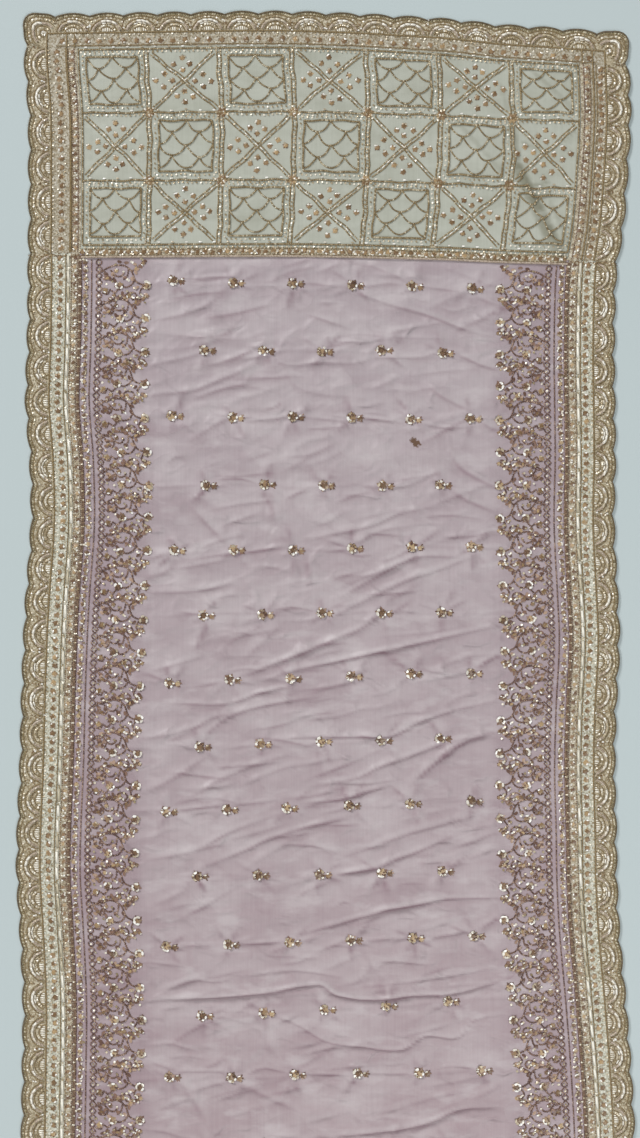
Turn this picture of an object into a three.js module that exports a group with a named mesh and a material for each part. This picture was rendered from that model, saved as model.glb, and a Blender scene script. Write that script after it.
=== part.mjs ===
// Net saree laid out flat: a mauve net body with scalloped zari lace down both long sides,
// and a cream pallu at one end, ruled in squares and edged with the same lace on its three
// free sides. A braid covers the seam between the two, and a cord covers each lace's seam.
// Millimetres. X runs across the cloth, +Y towards the pallu end, +Z up; it rests on z = 0.
import * as THREE from 'three';

// ---- driving sizes -------------------------------------------------------------------
const LENGTH = 5500; // pallu lace tips to the turned hem
const GAP = 0.3; // between the pieces at every seam
const NET_WALL = 1.2; // net with its stitched backing
const PALLU_WALL = 1.4;
const LACE_WALL = 1.5;

const SEAM_AT = 458; // pallu to body, measured down from the pallu's tips
const TOP_LACE = 65; // depth of the lace along the pallu's end
const BODY_LACE = { left: 100, right: 94 }; // width of lace that shows on each side
const PALLU_LACE = { left: 101, right: 96 };

// The lace's section, in steps in from the tips of its scallops. cord, groove, rule and foot
// are lines that run along it; bend is how much of the scallop's wave each line keeps.
const SCALLOP = { deep: 6, steps: 4 };
const LINES = {
  cord: { inset: 4, bend: 0.85, top: 2.8 },
  groove: { inset: 12, bend: 0.6, top: LACE_WALL },
  rule: { inset: 44, top: 2.4 },
  foot: { inset: 48, top: LACE_WALL },
};
const TOP_RULE = 38; // the rule and its foot along the pallu's end, measured the same way
const TOP_FOOT = 42;
const SCALLOPS = { bodyLeft: 80, bodyRight: 81, palluSide: 6, palluTop: 16 };
// One big scallop round each corner: its arc in degrees, and how much further out than a
// circle it reaches on the diagonal, as a share of its radius.
const CORNER = { radius: 38, from: -41, to: 135, steps: 8, side: 61, square: 0.25 };

// Where the tips of the side scallops lie, down the length of the cloth.
const EDGE = [
  { at: 0, left: -574, right: 574 },
  { at: 90, left: -574, right: 578 },
  { at: 190, left: -567, right: 580 },
  { at: 325, left: -566, right: 572 },
  { at: 400, left: -566, right: 565 },
  { at: 460, left: -567, right: 555 },
  { at: 520, left: -567, right: 551 },
  { at: 640, left: -569, right: 549 },
  { at: 740, left: -572, right: 550 },
  { at: 855, left: -564, right: 551 },
  { at: 975, left: -562, right: 549 },
  { at: 1120, left: -572, right: 556 },
  { at: 1200, left: -576, right: 559 },
  { at: 1320, left: -580, right: 553 },
  { at: 1440, left: -583, right: 550 },
  { at: 1560, left: -588, right: 553 },
  { at: 1640, left: -589, right: 554 },
  { at: 1745, left: -583, right: 559 },
  { at: 1880, left: -577, right: 571 },
  { at: 2010, left: -578, right: 581 },
  { at: 2140, left: -580, right: 588 },
  { at: 2260, left: -583, right: 589 },
  { at: 2600, left: -581, right: 580 },
  { at: 3000, left: -573, right: 573 },
  { at: 3500, left: -575, right: 582 },
  { at: 4000, left: -583, right: 587 },
  { at: 4500, left: -577, right: 579 },
  { at: 5000, left: -570, right: 575 },
  { at: 5500, left: -575, right: 577 },
];

// The pallu's end hangs lower to the right (low, across x), less and less down the cloth.
const TILT = [
  { at: -580, low: 6 },
  { at: -430, low: 4 },
  { at: -100, low: 0 },
  { at: 45, low: 4 },
  { at: 140, low: 9 },
  { at: 235, low: 15 },
  { at: 330, low: 25 },
  { at: 425, low: 31 },
  { at: 580, low: 42 },
];
const TILT_KEPT = [
  { at: 0, share: 1 },
  { at: 65, share: 1 },
  { at: 190, share: 0.52 },
  { at: 430, share: 0.5 },
  { at: 560, share: 0.3 },
  { at: 900, share: 0 },
];

// The pallu is ruled in 7 by 3 squares: ruled lines across its width and down its length.
const PALLU_RULES_ACROSS = [0.137, 0.282, 0.427, 0.575, 0.72, 0.863];
const PALLU_RULES_DOWN = [192, 321];
const PALLU_PLAIN_DOWN = [130, 256, 385];
const RULE = { half: 3.5, high: 1, knot: 1.7, end: 445, flat: 448 }; // they stop at the braid

// Rows of sprigs draw the net up into a pucker each, and folds lie between them.
const SPRIG_ROWS = { first: 517, pitch: 125.7, count: 40 };
const PUCKER = { half: 12, low: 0.4, high: 1.5, sway: 3 };
const NET_COLUMNS = [0, 0.1, 0.22, 0.36, 0.5, 0.64, 0.78, 0.9, 1];
const FIELD = { from: 0.06, full: 0.2 }; // puckers and folds die out towards the laces
const FOLDS = [
  { after: 0, shift: 4, tilt: 36, high: 4, from: 0.35, to: 1, half: 13 },
  { after: 2, shift: 6, tilt: 30, high: 3, from: 0.5, to: 1, half: 12 },
  { after: 3, shift: -2, tilt: -24, high: 3.5, from: 0, to: 0.75, half: 13 },
  { after: 5, shift: 0, tilt: -40, high: 5, from: 0.1, to: 1, half: 14 },
  { after: 6, shift: -2, tilt: -30, high: 4, from: 0.2, to: 0.9, half: 13 },
  { after: 7, shift: 3, tilt: -36, high: 4.5, from: 0, to: 0.8, half: 14 },
  { after: 8, shift: -4, tilt: -28, high: 3, from: 0.3, to: 1, half: 12 },
  { after: 9, shift: 2, tilt: -40, high: 5, from: 0.2, to: 1, half: 14 },
  { after: 10, shift: 26, tilt: -26, high: 5.5, from: 0, to: 1, half: 8 },
  { after: 11, shift: -3, tilt: -22, high: 3, from: 0, to: 0.7, half: 12 },
  { after: 12, shift: 4, tilt: -40, high: 5, from: 0.3, to: 1, half: 14 },
  { after: 14, shift: 0, tilt: 30, high: 4.5, from: 0, to: 0.8, half: 14 },
  { after: 16, shift: 5, tilt: -34, high: 4, from: 0.2, to: 1, half: 13 },
  { after: 19, shift: -4, tilt: -26, high: 5, from: 0, to: 1, half: 14 },
  { after: 21, shift: 2, tilt: 36, high: 3.5, from: 0.1, to: 0.8, half: 12 },
  { after: 24, shift: 0, tilt: -38, high: 5, from: 0.2, to: 1, half: 14 },
  { after: 26, shift: -3, tilt: 22, high: 4, from: 0, to: 0.9, half: 13 },
  { after: 29, shift: 4, tilt: -30, high: 4.5, from: 0.1, to: 1, half: 14 },
  { after: 31, shift: 0, tilt: 34, high: 4, from: 0, to: 0.8, half: 13 },
  { after: 33, shift: -2, tilt: -26, high: 5, from: 0.2, to: 1, half: 14 },
  { after: 36, shift: 3, tilt: 28, high: 3.5, from: 0, to: 1, half: 12 },
];
const HEM = { deep: 16, step: 2, top: 2.4 };

const BRAID = { half: 9, foot: 2.4, crown: 3.2, inset: 9, steps: 22 };
const CORD = { half: 2.3, high: 3.5, from: 460, to: 5480, pitch: 160 };

// ---- where things lie ----------------------------------------------------------------

/** Read one column of a table at a place between its rows, on a smooth curve. */
function readTable(table, column, at) {
  const last = table.length - 1;
  if (at <= table[0].at) return table[0][column];
  if (at >= table[last].at) return table[last][column];
  let i = 0;
  while (table[i + 1].at < at) i += 1;
  const slope = (k) => {
    const before = table[Math.max(k - 1, 0)];
    const after = table[Math.min(k + 1, last)];
    return (after[column] - before[column]) / (after.at - before.at);
  };
  const span = table[i + 1].at - table[i].at;
  const t = (at - table[i].at) / span;
  const ease = t * t * (3 - 2 * t);
  const lift = t * (1 - t) * (1 - t) * slope(i) - t * t * (1 - t) * slope(i + 1);
  return table[i][column] * (1 - ease) + table[i + 1][column] * ease + lift * span;
}

/** The point at x across, `down` from the pallu's tips, and z up. */
function place(x, down, z) {
  const tilt = readTable(TILT, 'low', x) * readTable(TILT_KEPT, 'share', down);
  return new THREE.Vector3(x, LENGTH / 2 - down - tilt, z);
}

/** x of a line that lies `inset` inside the scallops' tips on one side. */
function insideEdge(side, down, inset) {
  const sign = side === 'left' ? 1 : -1;
  return readTable(EDGE, side, down) + sign * inset;
}

/** Smooth step from 0 at a to 1 at b. */
function stepBetween(a, b, value) {
  const t = THREE.MathUtils.clamp((value - a) / (b - a), 0, 1);
  return t * t * (3 - 2 * t);
}

// ---- a closed piece from rows of points ----------------------------------------------

/** Triangles between two rows of points, which may have different counts. */
function zip(a, b, triangles) {
  let i = 0;
  let j = 0;
  while (i < a.length - 1 || j < b.length - 1) {
    const aLeft = i < a.length - 1;
    const bLeft = j < b.length - 1;
    const takeA = aLeft && (!bLeft || a[i + 1].distanceTo(b[j]) <= a[i].distanceTo(b[j + 1]));
    if (takeA) {
      triangles.push([a[i], a[i + 1], b[j]]);
      i += 1;
    } else {
      triangles.push([a[i], b[j + 1], b[j]]);
      j += 1;
    }
  }
}

const firstPoints = (rows) => rows.map((row) => row[0]);
const lastPoints = (rows) => rows.map((row) => row[row.length - 1]);

/** Close a piece: its upper rows, its lower rows, and a wall all round between them. */
function closedPiece(upper, lower) {
  const triangles = [];
  for (let i = 0; i < upper.length - 1; i += 1) zip(upper[i], upper[i + 1], triangles);
  for (let i = lower.length - 1; i > 0; i -= 1) zip(lower[i], lower[i - 1], triangles);
  zip(lower[0], upper[0], triangles);
  zip(upper[upper.length - 1], lower[lower.length - 1], triangles);
  zip(firstPoints(upper), firstPoints(lower), triangles);
  zip(lastPoints(lower), lastPoints(upper), triangles);

  let volume = 0;
  for (const [a, b, c] of triangles) volume += a.dot(b.clone().cross(c));
  const positions = [];
  for (const [a, b, c] of triangles) {
    const facing = volume > 0 ? [a, b, c] : [a, c, b];
    for (const point of facing) positions.push(point.x, point.y, point.z);
  }
  const geometry = new THREE.BufferGeometry();
  geometry.setAttribute('position', new THREE.Float32BufferAttribute(positions, 3));
  geometry.computeVertexNormals();
  return geometry;
}

// ---- the net body --------------------------------------------------------------------

/** How high a sprig row's pucker stands at a share of the way across. */
function puckerHeight(row, across) {
  const wave = 0.5 + 0.5 * Math.sin(across * 17 + row * 2.3) * Math.cos(across * 7 - row * 1.1);
  return PUCKER.low + (PUCKER.high - PUCKER.low) * wave;
}

/** How much of a pucker or fold is left at a share of the way across. */
function fieldShare(across) {
  return stepBetween(FIELD.from, FIELD.full, across) * stepBetween(FIELD.from, FIELD.full, 1 - across);
}

/** A flat row of the net: where it lies at each share across, its lift and its raised top. */
function flatRow(down) {
  return { down, lift: () => 0, raised: () => 0, lifts: false };
}

/** The three rows of a pucker: a plain foot, the raised crest and a plain foot. */
function puckerRows(row) {
  const middle = SPRIG_ROWS.first + SPRIG_ROWS.pitch * row;
  const sway = (across) => PUCKER.sway * Math.sin(across * 9 + row * 1.7) * fieldShare(across);
  const crest = {
    ...flatRow((across) => middle + sway(across)),
    raised: (across) => puckerHeight(row, across) * fieldShare(across),
  };
  return [flatRow(() => middle - PUCKER.half), crest, flatRow(() => middle + PUCKER.half)];
}

/** The three rows of a fold, which lifts the net off the ground along its crest. */
function foldRows(fold) {
  const middle = SPRIG_ROWS.first + SPRIG_ROWS.pitch * (fold.after + 0.5) + fold.shift;
  const down = (across) => middle + fold.tilt * (across - 0.5);
  const rise = (fold.to - fold.from) * 0.3;
  const high = (across) => {
    const grown = stepBetween(fold.from, fold.from + rise, across);
    return fold.high * grown * stepBetween(-fold.to, rise - fold.to, -across) * fieldShare(across);
  };
  const foot = (offset) => ({ ...flatRow((across) => down(across) + offset), lifts: true });
  return [foot(-fold.half), { ...flatRow(down), lift: high, lifts: true }, foot(fold.half)];
}

/** Every row of the net from the seam to the hem, in order. */
function netRows() {
  const rows = [];
  for (let row = 0; row < SPRIG_ROWS.count; row += 1) {
    rows.push(...puckerRows(row));
    for (const fold of FOLDS.filter((one) => one.after === row)) rows.push(...foldRows(fold));
  }
  const hem = (down) => ({ ...flatRow(() => down), raised: () => HEM.top - NET_WALL });
  rows.push(flatRow(() => LENGTH - HEM.deep - HEM.step), hem(LENGTH - HEM.deep), hem(LENGTH));
  return rows;
}

/** A point of the net at a share of the way across. */
function netPoint(across, down, z) {
  const left = insideEdge('left', down, BODY_LACE.left + GAP);
  const right = insideEdge('right', down, BODY_LACE.right + GAP);
  return place(THREE.MathUtils.lerp(left, right, across), down, z);
}

/** The net body: raised along the puckers, lifted along the folds, flat where it rests. */
function netBody(rows, seamColumns) {
  const top = SEAM_AT + GAP / 2;
  const upper = [seamColumns.map((across) => netPoint(across, top, NET_WALL))];
  const lower = [seamColumns.map((across) => netPoint(across, top, 0))];
  for (const row of rows) {
    const point = (across, wall) => {
      const z = row.lift(across) + wall * (NET_WALL + row.raised(across));
      return netPoint(across, row.down(across), z);
    };
    upper.push(NET_COLUMNS.map((across) => point(across, 1)));
    lower.push((row.lifts ? NET_COLUMNS : [0, 1]).map((across) => point(across, 0)));
  }
  return closedPiece(upper, lower);
}

// ---- the lace ------------------------------------------------------------------------

/** How far the edge falls back from its tips at a share of the way along a scallop. */
function scallopFall(share) {
  return SCALLOP.deep * (2 * share - 1) ** 2;
}

/** Places along a run of scallops, and how far the edge falls back at each. */
function scallopSteps(from, to, count, steps) {
  const places = [];
  for (let i = 0; i <= count * steps; i += 1) {
    const share = (i % steps) / steps;
    places.push({ at: from + ((to - from) * i) / (count * steps), fall: scallopFall(share) });
  }
  return places;
}

/** A lace down one side, with its inner edge at the rows of the cloth that it meets. */
function sideLace(side, from, to, count, width, innerDowns) {
  const line = (steps, inset, bend, z) =>
    scallopSteps(from, to, count, steps).map(({ at, fall }) =>
      place(insideEdge(side, at, inset + bend * fall), at, z));
  const inner = (z) => innerDowns.map((down) => place(insideEdge(side, down, width), down, z));
  const { cord, groove, rule, foot } = LINES;
  const upper = [
    line(SCALLOP.steps, 0, 1, LACE_WALL),
    line(SCALLOP.steps, cord.inset, cord.bend, cord.top),
    line(2, groove.inset, groove.bend, groove.top),
    line(1, rule.inset, 0, rule.top),
    line(1, foot.inset, 0, foot.top),
    inner(LACE_WALL),
  ];
  const lower = [line(SCALLOP.steps, 0, 1, 0), inner(0)];
  return closedPiece(upper, lower);
}

/** The big scallop round one corner: the points between its side end and its top end. */
function cornerArc(side, inset, z, steps) {
  const sign = side === 'left' ? 1 : -1;
  const points = [];
  for (let i = 1; i < steps; i += 1) {
    const angle = THREE.MathUtils.degToRad(THREE.MathUtils.lerp(CORNER.from, CORNER.to, i / steps));
    const reach = 1 + CORNER.square * Math.max(0, Math.sin(2 * angle)) ** 2;
    const radius = (CORNER.radius - inset) * reach;
    const down = CORNER.radius - radius * Math.sin(angle);
    const across = CORNER.radius - radius * Math.cos(angle);
    points.push(place(readTable(EDGE, side, 0) + sign * across, down, z));
  }
  return points;
}

/** The lace along the pallu's end, turned down both corners to meet the side laces. */
function topLace(innerPoints) {
  const end = TOP_LACE - GAP / 2;
  const from = EDGE[0].left + CORNER.side;
  const to = EDGE[0].right - CORNER.side;
  const scalloped = (steps, inset, bend, z, cornerSteps) => {
    const row = scallopSteps(from, to, SCALLOPS.palluTop, steps);
    const middle = row.map(({ at: x, fall }) => place(x, inset + bend * fall, z));
    const turn = (side) => [
      place(insideEdge(side, end, inset + bend * SCALLOP.deep), end, z),
      ...cornerArc(side, inset, z, cornerSteps),
    ];
    return [...turn('left'), ...middle, ...turn('right').reverse()];
  };
  const ruled = (sideInset, topInset, z) => {
    const row = scallopSteps(from, to, SCALLOPS.palluTop, 1).map(({ at: x }) => place(x, topInset, z));
    const turn = (side) => [
      place(insideEdge(side, end, sideInset), end, z),
      place(insideEdge(side, topInset, sideInset), topInset, z),
    ];
    return [...turn('left'), ...row, ...turn('right').reverse()];
  };
  const { cord, groove, rule, foot } = LINES;
  const upper = [
    scalloped(SCALLOP.steps, 0, 1, LACE_WALL, CORNER.steps),
    scalloped(SCALLOP.steps, cord.inset, cord.bend, cord.top, CORNER.steps),
    scalloped(2, groove.inset, groove.bend, groove.top, CORNER.steps / 2),
    ruled(rule.inset, TOP_RULE, rule.top),
    ruled(foot.inset, TOP_FOOT, foot.top),
    innerPoints(end, LACE_WALL),
  ];
  const lower = [scalloped(SCALLOP.steps, 0, 1, 0, CORNER.steps), innerPoints(end, 0)];
  return closedPiece(upper, lower);
}

// ---- the pallu -----------------------------------------------------------------------

/** Places with a raised rule: foot, crest and foot, with the outer ones along the edges. */
function ruledPlaces(from, to, rules, half) {
  const places = [{ at: from, crest: 0 }, { at: from + half, crest: 1 }, { at: from + 2 * half, crest: 0 }];
  for (const at of rules) {
    places.push({ at: at - half, crest: 0 }, { at, crest: 1 }, { at: at + half, crest: 0 });
  }
  places.push({ at: to - 2 * half, crest: 0 }, { at: to - half, crest: 1 }, { at: to, crest: 0 });
  return places;
}

/** The pallu's ruled columns at one place down: x, and whether a rule crests there. */
function palluColumns(down) {
  const left = insideEdge('left', down, PALLU_LACE.left + GAP);
  const right = insideEdge('right', down, PALLU_LACE.right + GAP);
  const rules = PALLU_RULES_ACROSS.map((share) => THREE.MathUtils.lerp(left, right, share));
  return ruledPlaces(left, right, rules, RULE.half);
}

/** The pallu's rows: the ruled ones, and plain ones that only follow the sides' curve. */
function palluRows() {
  const ruled = ruledPlaces(TOP_LACE + GAP / 2, RULE.end, PALLU_RULES_DOWN, RULE.half);
  const plain = PALLU_PLAIN_DOWN.map((at) => ({ at, crest: 0 }));
  const rows = [...ruled, ...plain].sort((one, other) => one.at - other.at);
  const underBraid = [RULE.flat, SEAM_AT - GAP / 2].map((at) => ({ at, crest: 0, bare: true }));
  return [...rows, ...underBraid];
}

/** The pallu panel, its rules raised over a plain underside, with a knot at each crossing. */
function palluPanel(rows) {
  const upper = rows.map((row) => palluColumns(row.at).map(({ at: x, crest }) => {
    const high = crest && row.crest ? RULE.knot : RULE.high;
    const raised = row.bare ? 0 : Math.max(crest, row.crest) * high;
    return place(x, row.at, PALLU_WALL + raised);
  }));
  const lower = rows.map((row, i) => {
    const isEnd = i === 0 || i === rows.length - 1;
    const columns = palluColumns(row.at);
    const last = columns.length - 1;
    const kept = columns.filter(({ crest }, k) => isEnd || crest || k === 0 || k === last);
    return kept.map(({ at: x }) => place(x, row.at, 0));
  });
  return closedPiece(upper, lower);
}

// ---- braid and cords -----------------------------------------------------------------

/** The crowned braid that lies over the seam between the pallu and the body. */
function seamBraid() {
  const foot = PALLU_WALL + GAP;
  const from = insideEdge('left', SEAM_AT, PALLU_LACE.left + BRAID.inset);
  const to = insideEdge('right', SEAM_AT, PALLU_LACE.right + BRAID.inset);
  const line = (offset, z) => {
    const points = [];
    for (let i = 0; i <= BRAID.steps; i += 1) {
      points.push(place(THREE.MathUtils.lerp(from, to, i / BRAID.steps), SEAM_AT + offset, z));
    }
    return points;
  };
  const upper = [line(-BRAID.half, BRAID.foot), line(0, BRAID.crown), line(BRAID.half, BRAID.foot)];
  return closedPiece(upper, [line(-BRAID.half, foot), line(BRAID.half, foot)]);
}

/** The twin cord that lies over the seam between the net body and one side's lace. */
function edgingCord(side) {
  const foot = LACE_WALL + GAP;
  const count = Math.round((CORD.to - CORD.from) / CORD.pitch);
  const line = (offset, z) => {
    const points = [];
    for (let i = 0; i <= count; i += 1) {
      const down = THREE.MathUtils.lerp(CORD.from, CORD.to, i / count);
      points.push(place(insideEdge(side, down, BODY_LACE[side]) + offset, down, z));
    }
    return points;
  };
  const upper = [line(-CORD.half, foot + GAP), line(0, CORD.high), line(CORD.half, foot + GAP)];
  return closedPiece(upper, [line(-CORD.half, foot), line(CORD.half, foot)]);
}

// ---- the whole saree -----------------------------------------------------------------

const MATERIALS = {
  net: { color: 0xb3a3a9, roughness: 0.6, metalness: 0 },
  palluCloth: { color: 0xaeada0, roughness: 0.6, metalness: 0 },
  zariLace: { color: 0x9b8f76, roughness: 0.45, metalness: 0.3 },
  braid: { color: 0x8f8160, roughness: 0.4, metalness: 0.4 },
  cord: { color: 0x745b45, roughness: 0.55, metalness: 0.2 },
};

const saree = new THREE.Group();

/** Add one named piece to the saree. */
function addPiece(name, geometry, finish) {
  const mesh = new THREE.Mesh(geometry, new THREE.MeshStandardMaterial(MATERIALS[finish]));
  mesh.name = name;
  saree.add(mesh);
}

const bodyRows = netRows();
const panelRows = palluRows();
const seamPlaces = palluColumns(SEAM_AT).map(({ at }) => at);
const seamColumns = seamPlaces.map((x) =>
  (x - seamPlaces[0]) / (seamPlaces[seamPlaces.length - 1] - seamPlaces[0]));
addPiece('net_body', netBody(bodyRows, seamColumns), 'net');
addPiece('pallu_panel', palluPanel(panelRows), 'palluCloth');

for (const side of ['left', 'right']) {
  const across = side === 'left' ? 0 : 1;
  const bodyDowns = [SEAM_AT + GAP / 2, ...bodyRows.map((row) => row.down(across))];
  const count = side === 'left' ? SCALLOPS.bodyLeft : SCALLOPS.bodyRight;
  const bodyLace = sideLace(side, SEAM_AT + GAP / 2, LENGTH, count, BODY_LACE[side], bodyDowns);
  addPiece(`body_lace_${side}`, bodyLace, 'zariLace');

  const palluDowns = panelRows.map((row) => row.at);
  const palluLace = sideLace(side, TOP_LACE + GAP / 2, SEAM_AT - GAP / 2, SCALLOPS.palluSide,
    PALLU_LACE[side], palluDowns);
  addPiece(`pallu_lace_${side}`, palluLace, 'zariLace');
  addPiece(`edging_cord_${side}`, edgingCord(side), 'cord');
}

/** The end lace's inner edge: the panel's columns, but for the two nearest each corner. */
function topInner(down, z) {
  const columns = palluColumns(down).map(({ at }) => at);
  const from = columns[0] - GAP;
  const to = columns[columns.length - 1] + GAP;
  return [from, ...columns.slice(3, -3), to].map((x) => place(x, down, z));
}

addPiece('pallu_lace_top', topLace(topInner), 'zariLace');
addPiece('pallu_seam_braid', seamBraid(), 'braid');

export default saree;
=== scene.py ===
"""A net saree laid out flat, face up: mauve net body, cream pallu and scalloped zari lace.

Tables and sizes are in millimetres as they are measured on the cloth: x across it, and down
from the tips of the lace along the pallu's end. ClothPlan turns them into metres in the frame.
"""

import logging
import math
from collections import defaultdict
from dataclasses import dataclass, field
from enum import Enum
from functools import cache
from typing import NamedTuple

import bpy
import numpy as np
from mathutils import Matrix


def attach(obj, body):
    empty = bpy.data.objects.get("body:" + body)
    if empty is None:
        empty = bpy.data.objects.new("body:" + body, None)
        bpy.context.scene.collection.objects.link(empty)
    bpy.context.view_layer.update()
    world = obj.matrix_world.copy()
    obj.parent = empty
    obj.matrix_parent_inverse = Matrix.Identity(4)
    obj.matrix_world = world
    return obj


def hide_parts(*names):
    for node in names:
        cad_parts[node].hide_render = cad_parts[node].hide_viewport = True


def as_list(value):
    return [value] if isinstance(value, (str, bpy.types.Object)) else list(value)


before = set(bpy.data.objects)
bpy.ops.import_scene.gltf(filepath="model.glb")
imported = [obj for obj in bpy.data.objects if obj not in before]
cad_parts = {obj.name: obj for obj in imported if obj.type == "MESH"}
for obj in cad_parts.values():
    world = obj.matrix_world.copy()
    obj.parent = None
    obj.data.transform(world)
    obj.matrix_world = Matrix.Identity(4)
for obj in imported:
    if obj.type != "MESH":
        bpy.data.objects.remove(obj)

log = logging.getLogger("saree")

MM = 0.001
LENGTH = 5500.0
GAP = 0.3
PALLU_TOP = 65.0  # where the pallu's panel meets its end lace
SEAM_AT = 458.0
NET_WALL = 1.2
PALLU_WALL = 1.4
LACE_WALL = 1.5
SHOWN_TO = 2200.0  # past this the cloth repeats itself, worked with fewer and larger bits
COARSE = 1.55
SEED = 11
RIM = 0.5  # how far in from a cloth's cut edge its face turns level

Array = np.ndarray
Tree = bpy.types.NodeTree
Socket = bpy.types.NodeSocket
Piece = bpy.types.Object
Line = tuple[Array, Array]  # x and down of the points of a line
Size = tuple[float, float, float]  # a small thing's length, width and height
Inputs = dict[str | int, object]  # what goes into a node's sockets


class Side(Enum):
    """The two long sides of the cloth."""

    LEFT = "left"
    RIGHT = "right"

    @property
    def inward(self) -> float:
        """The way along x that leads into the cloth."""
        return 1.0 if self is Side.LEFT else -1.0


# ---- where things lie ------------------------------------------------------------------


class EdgeRow(NamedTuple):
    """Where the tips of the side scallops lie at one place down the cloth."""

    at: float
    left: float
    right: float


EDGE = tuple(EdgeRow(*row) for row in (
    (0, -574, 574), (90, -574, 578), (190, -567, 580), (325, -566, 572), (400, -566, 565),
    (460, -567, 555), (520, -567, 551), (640, -569, 549), (740, -572, 550), (855, -564, 551),
    (975, -562, 549), (1120, -572, 556), (1200, -576, 559), (1320, -580, 553), (1440, -583, 550),
    (1560, -588, 553), (1640, -589, 554), (1745, -583, 559), (1880, -577, 571), (2010, -578, 581),
    (2140, -580, 588), (2260, -583, 589), (2600, -581, 580), (3000, -573, 573), (3500, -575, 582),
    (4000, -583, 587), (4500, -577, 579), (5000, -570, 575), (5500, -575, 577),
))
TILT_LOW = ((-580, 6), (-430, 4), (-100, 0), (45, 4), (140, 9), (235, 15), (330, 25), (425, 31), (580, 42))
TILT_KEPT = ((0, 1), (65, 1), (190, 0.52), (430, 0.5), (560, 0.3), (900, 0))


def read_curve(places: Array, values: Array, at: Array) -> Array:
    """Read a smooth curve through a table.

    Args:
        places: Where the table's rows lie, rising.
        values: The table's value at each row.
        at: Where to read.

    Returns:
        The value at each place asked for.
    """
    last = len(places) - 1
    at = np.clip(at, places[0], places[-1])
    i = np.clip(np.searchsorted(places, at, side="right") - 1, 0, last - 1)
    row = np.arange(last + 1)
    before, after = np.maximum(row - 1, 0), np.minimum(row + 1, last)
    slope = (values[after] - values[before]) / (places[after] - places[before])
    span = places[i + 1] - places[i]
    t = (at - places[i]) / span
    ease = t * t * (3 - 2 * t)
    lift = t * (1 - t) ** 2 * slope[i] - t * t * (1 - t) * slope[i + 1]
    return values[i] * (1 - ease) + values[i + 1] * ease + lift * span


def smooth_step(low: float, high: float, value: Array) -> Array:
    """A smooth step from 0 at low to 1 at high."""
    t = np.clip((value - low) / (high - low), 0, 1)
    return t * t * (3 - 2 * t)


class ClothPlan:
    """The cut of the saree as it lies: its two edges and the tilt of the pallu's end."""

    def __init__(self) -> None:
        """Read the tables into columns."""
        self.edge = np.array(EDGE, float)
        self.low = np.array(TILT_LOW, float)
        self.kept = np.array(TILT_KEPT, float)

    def inside(self, side: Side, down: Array, inset: Array | float) -> Array:
        """x of what lies an inset inside the scallops' tips on one side."""
        column = 1 if side is Side.LEFT else 2
        return read_curve(self.edge[:, 0], self.edge[:, column], down) + side.inward * inset

    def span(self, down: Array | float, left: float, right: float) -> Line:
        """x of both edges of a panel that lies so far inside the left tips and the right ones."""
        return self.inside(Side.LEFT, down, left), self.inside(Side.RIGHT, down, right)

    def place(self, x: Array, down: Array, z: Array) -> Array:
        """Put points of the cloth in the frame.

        Args:
            x: Across the cloth.
            down: Down from the pallu's tips.
            z: Above what the cloth lies on.

        Returns:
            The points in metres, one row each.
        """
        x, down, z = np.broadcast_arrays(np.asarray(x, float), down, z)
        low = read_curve(self.low[:, 0], self.low[:, 1], x)
        kept = read_curve(self.kept[:, 0], self.kept[:, 1], down)
        return np.stack([x, LENGTH / 2 - down - low * kept, z], axis=-1) * MM


PLAN = ClothPlan()

# ---- colour and shader nodes -----------------------------------------------------------


def colour(hex_value: int) -> tuple[float, ...]:
    """Turn an sRGB hex value to a linear colour."""
    parts = (((hex_value >> shift) & 255) / 255 for shift in (16, 8, 0))
    return (*(p / 12.92 if p <= 0.04045 else ((p + 0.055) / 1.055) ** 2.4 for p in parts), 1.0)


def add_node(tree: Tree, kind: str, settings: dict[str, object] | None = None,
             inputs: Inputs | None = None) -> bpy.types.Node:
    """Add a node with its settings and links.

    Args:
        tree: The tree it goes into.
        kind: The node's type.
        settings: Its properties.
        inputs: A value, or the socket to link from, for each of its inputs.

    Returns:
        The new node.
    """
    node = tree.nodes.new(kind)
    for name, value in (settings or {}).items():
        setattr(node, name, value)
    for name, value in (inputs or {}).items():
        if isinstance(value, Socket):
            tree.links.new(value, node.inputs[name])
        else:
            node.inputs[name].default_value = value
    return node


def placed(tree: Tree, size_mm: float, stretch: Size = (1, 1, 1), turn: float = 0.0) -> Socket:
    """The places on a piece, counted in a pattern's own size.

    Args:
        tree: The material's tree.
        size_mm: How large one step of the pattern is.
        stretch: How much longer it is along each axis.
        turn: How far it is turned on the cloth, in radians.

    Returns:
        The socket with the places.
    """
    place = add_node(tree, "ShaderNodeTexCoord").outputs["Object"]
    scale = tuple(1 / (size_mm * MM * part) for part in stretch)
    inputs = {"Vector": place, "Scale": scale, "Rotation": (0, 0, turn)}
    return add_node(tree, "ShaderNodeMapping", inputs=inputs).outputs[0]


def noise(tree: Tree, size_mm: float, stretch: Size = (1, 1, 1), detail: float = 2.0) -> Socket:
    """A soft noise of a real size.

    Args:
        tree: The material's tree.
        size_mm: How large its patches are.
        stretch: How much longer they are along each axis.
        detail: How many finer octaves it has.

    Returns:
        The socket with its value.
    """
    inputs = {"Vector": placed(tree, size_mm, stretch), "Scale": 1.0, "Detail": detail, "Roughness": 0.55}
    return add_node(tree, "ShaderNodeTexNoise", inputs=inputs).outputs[0]


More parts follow.
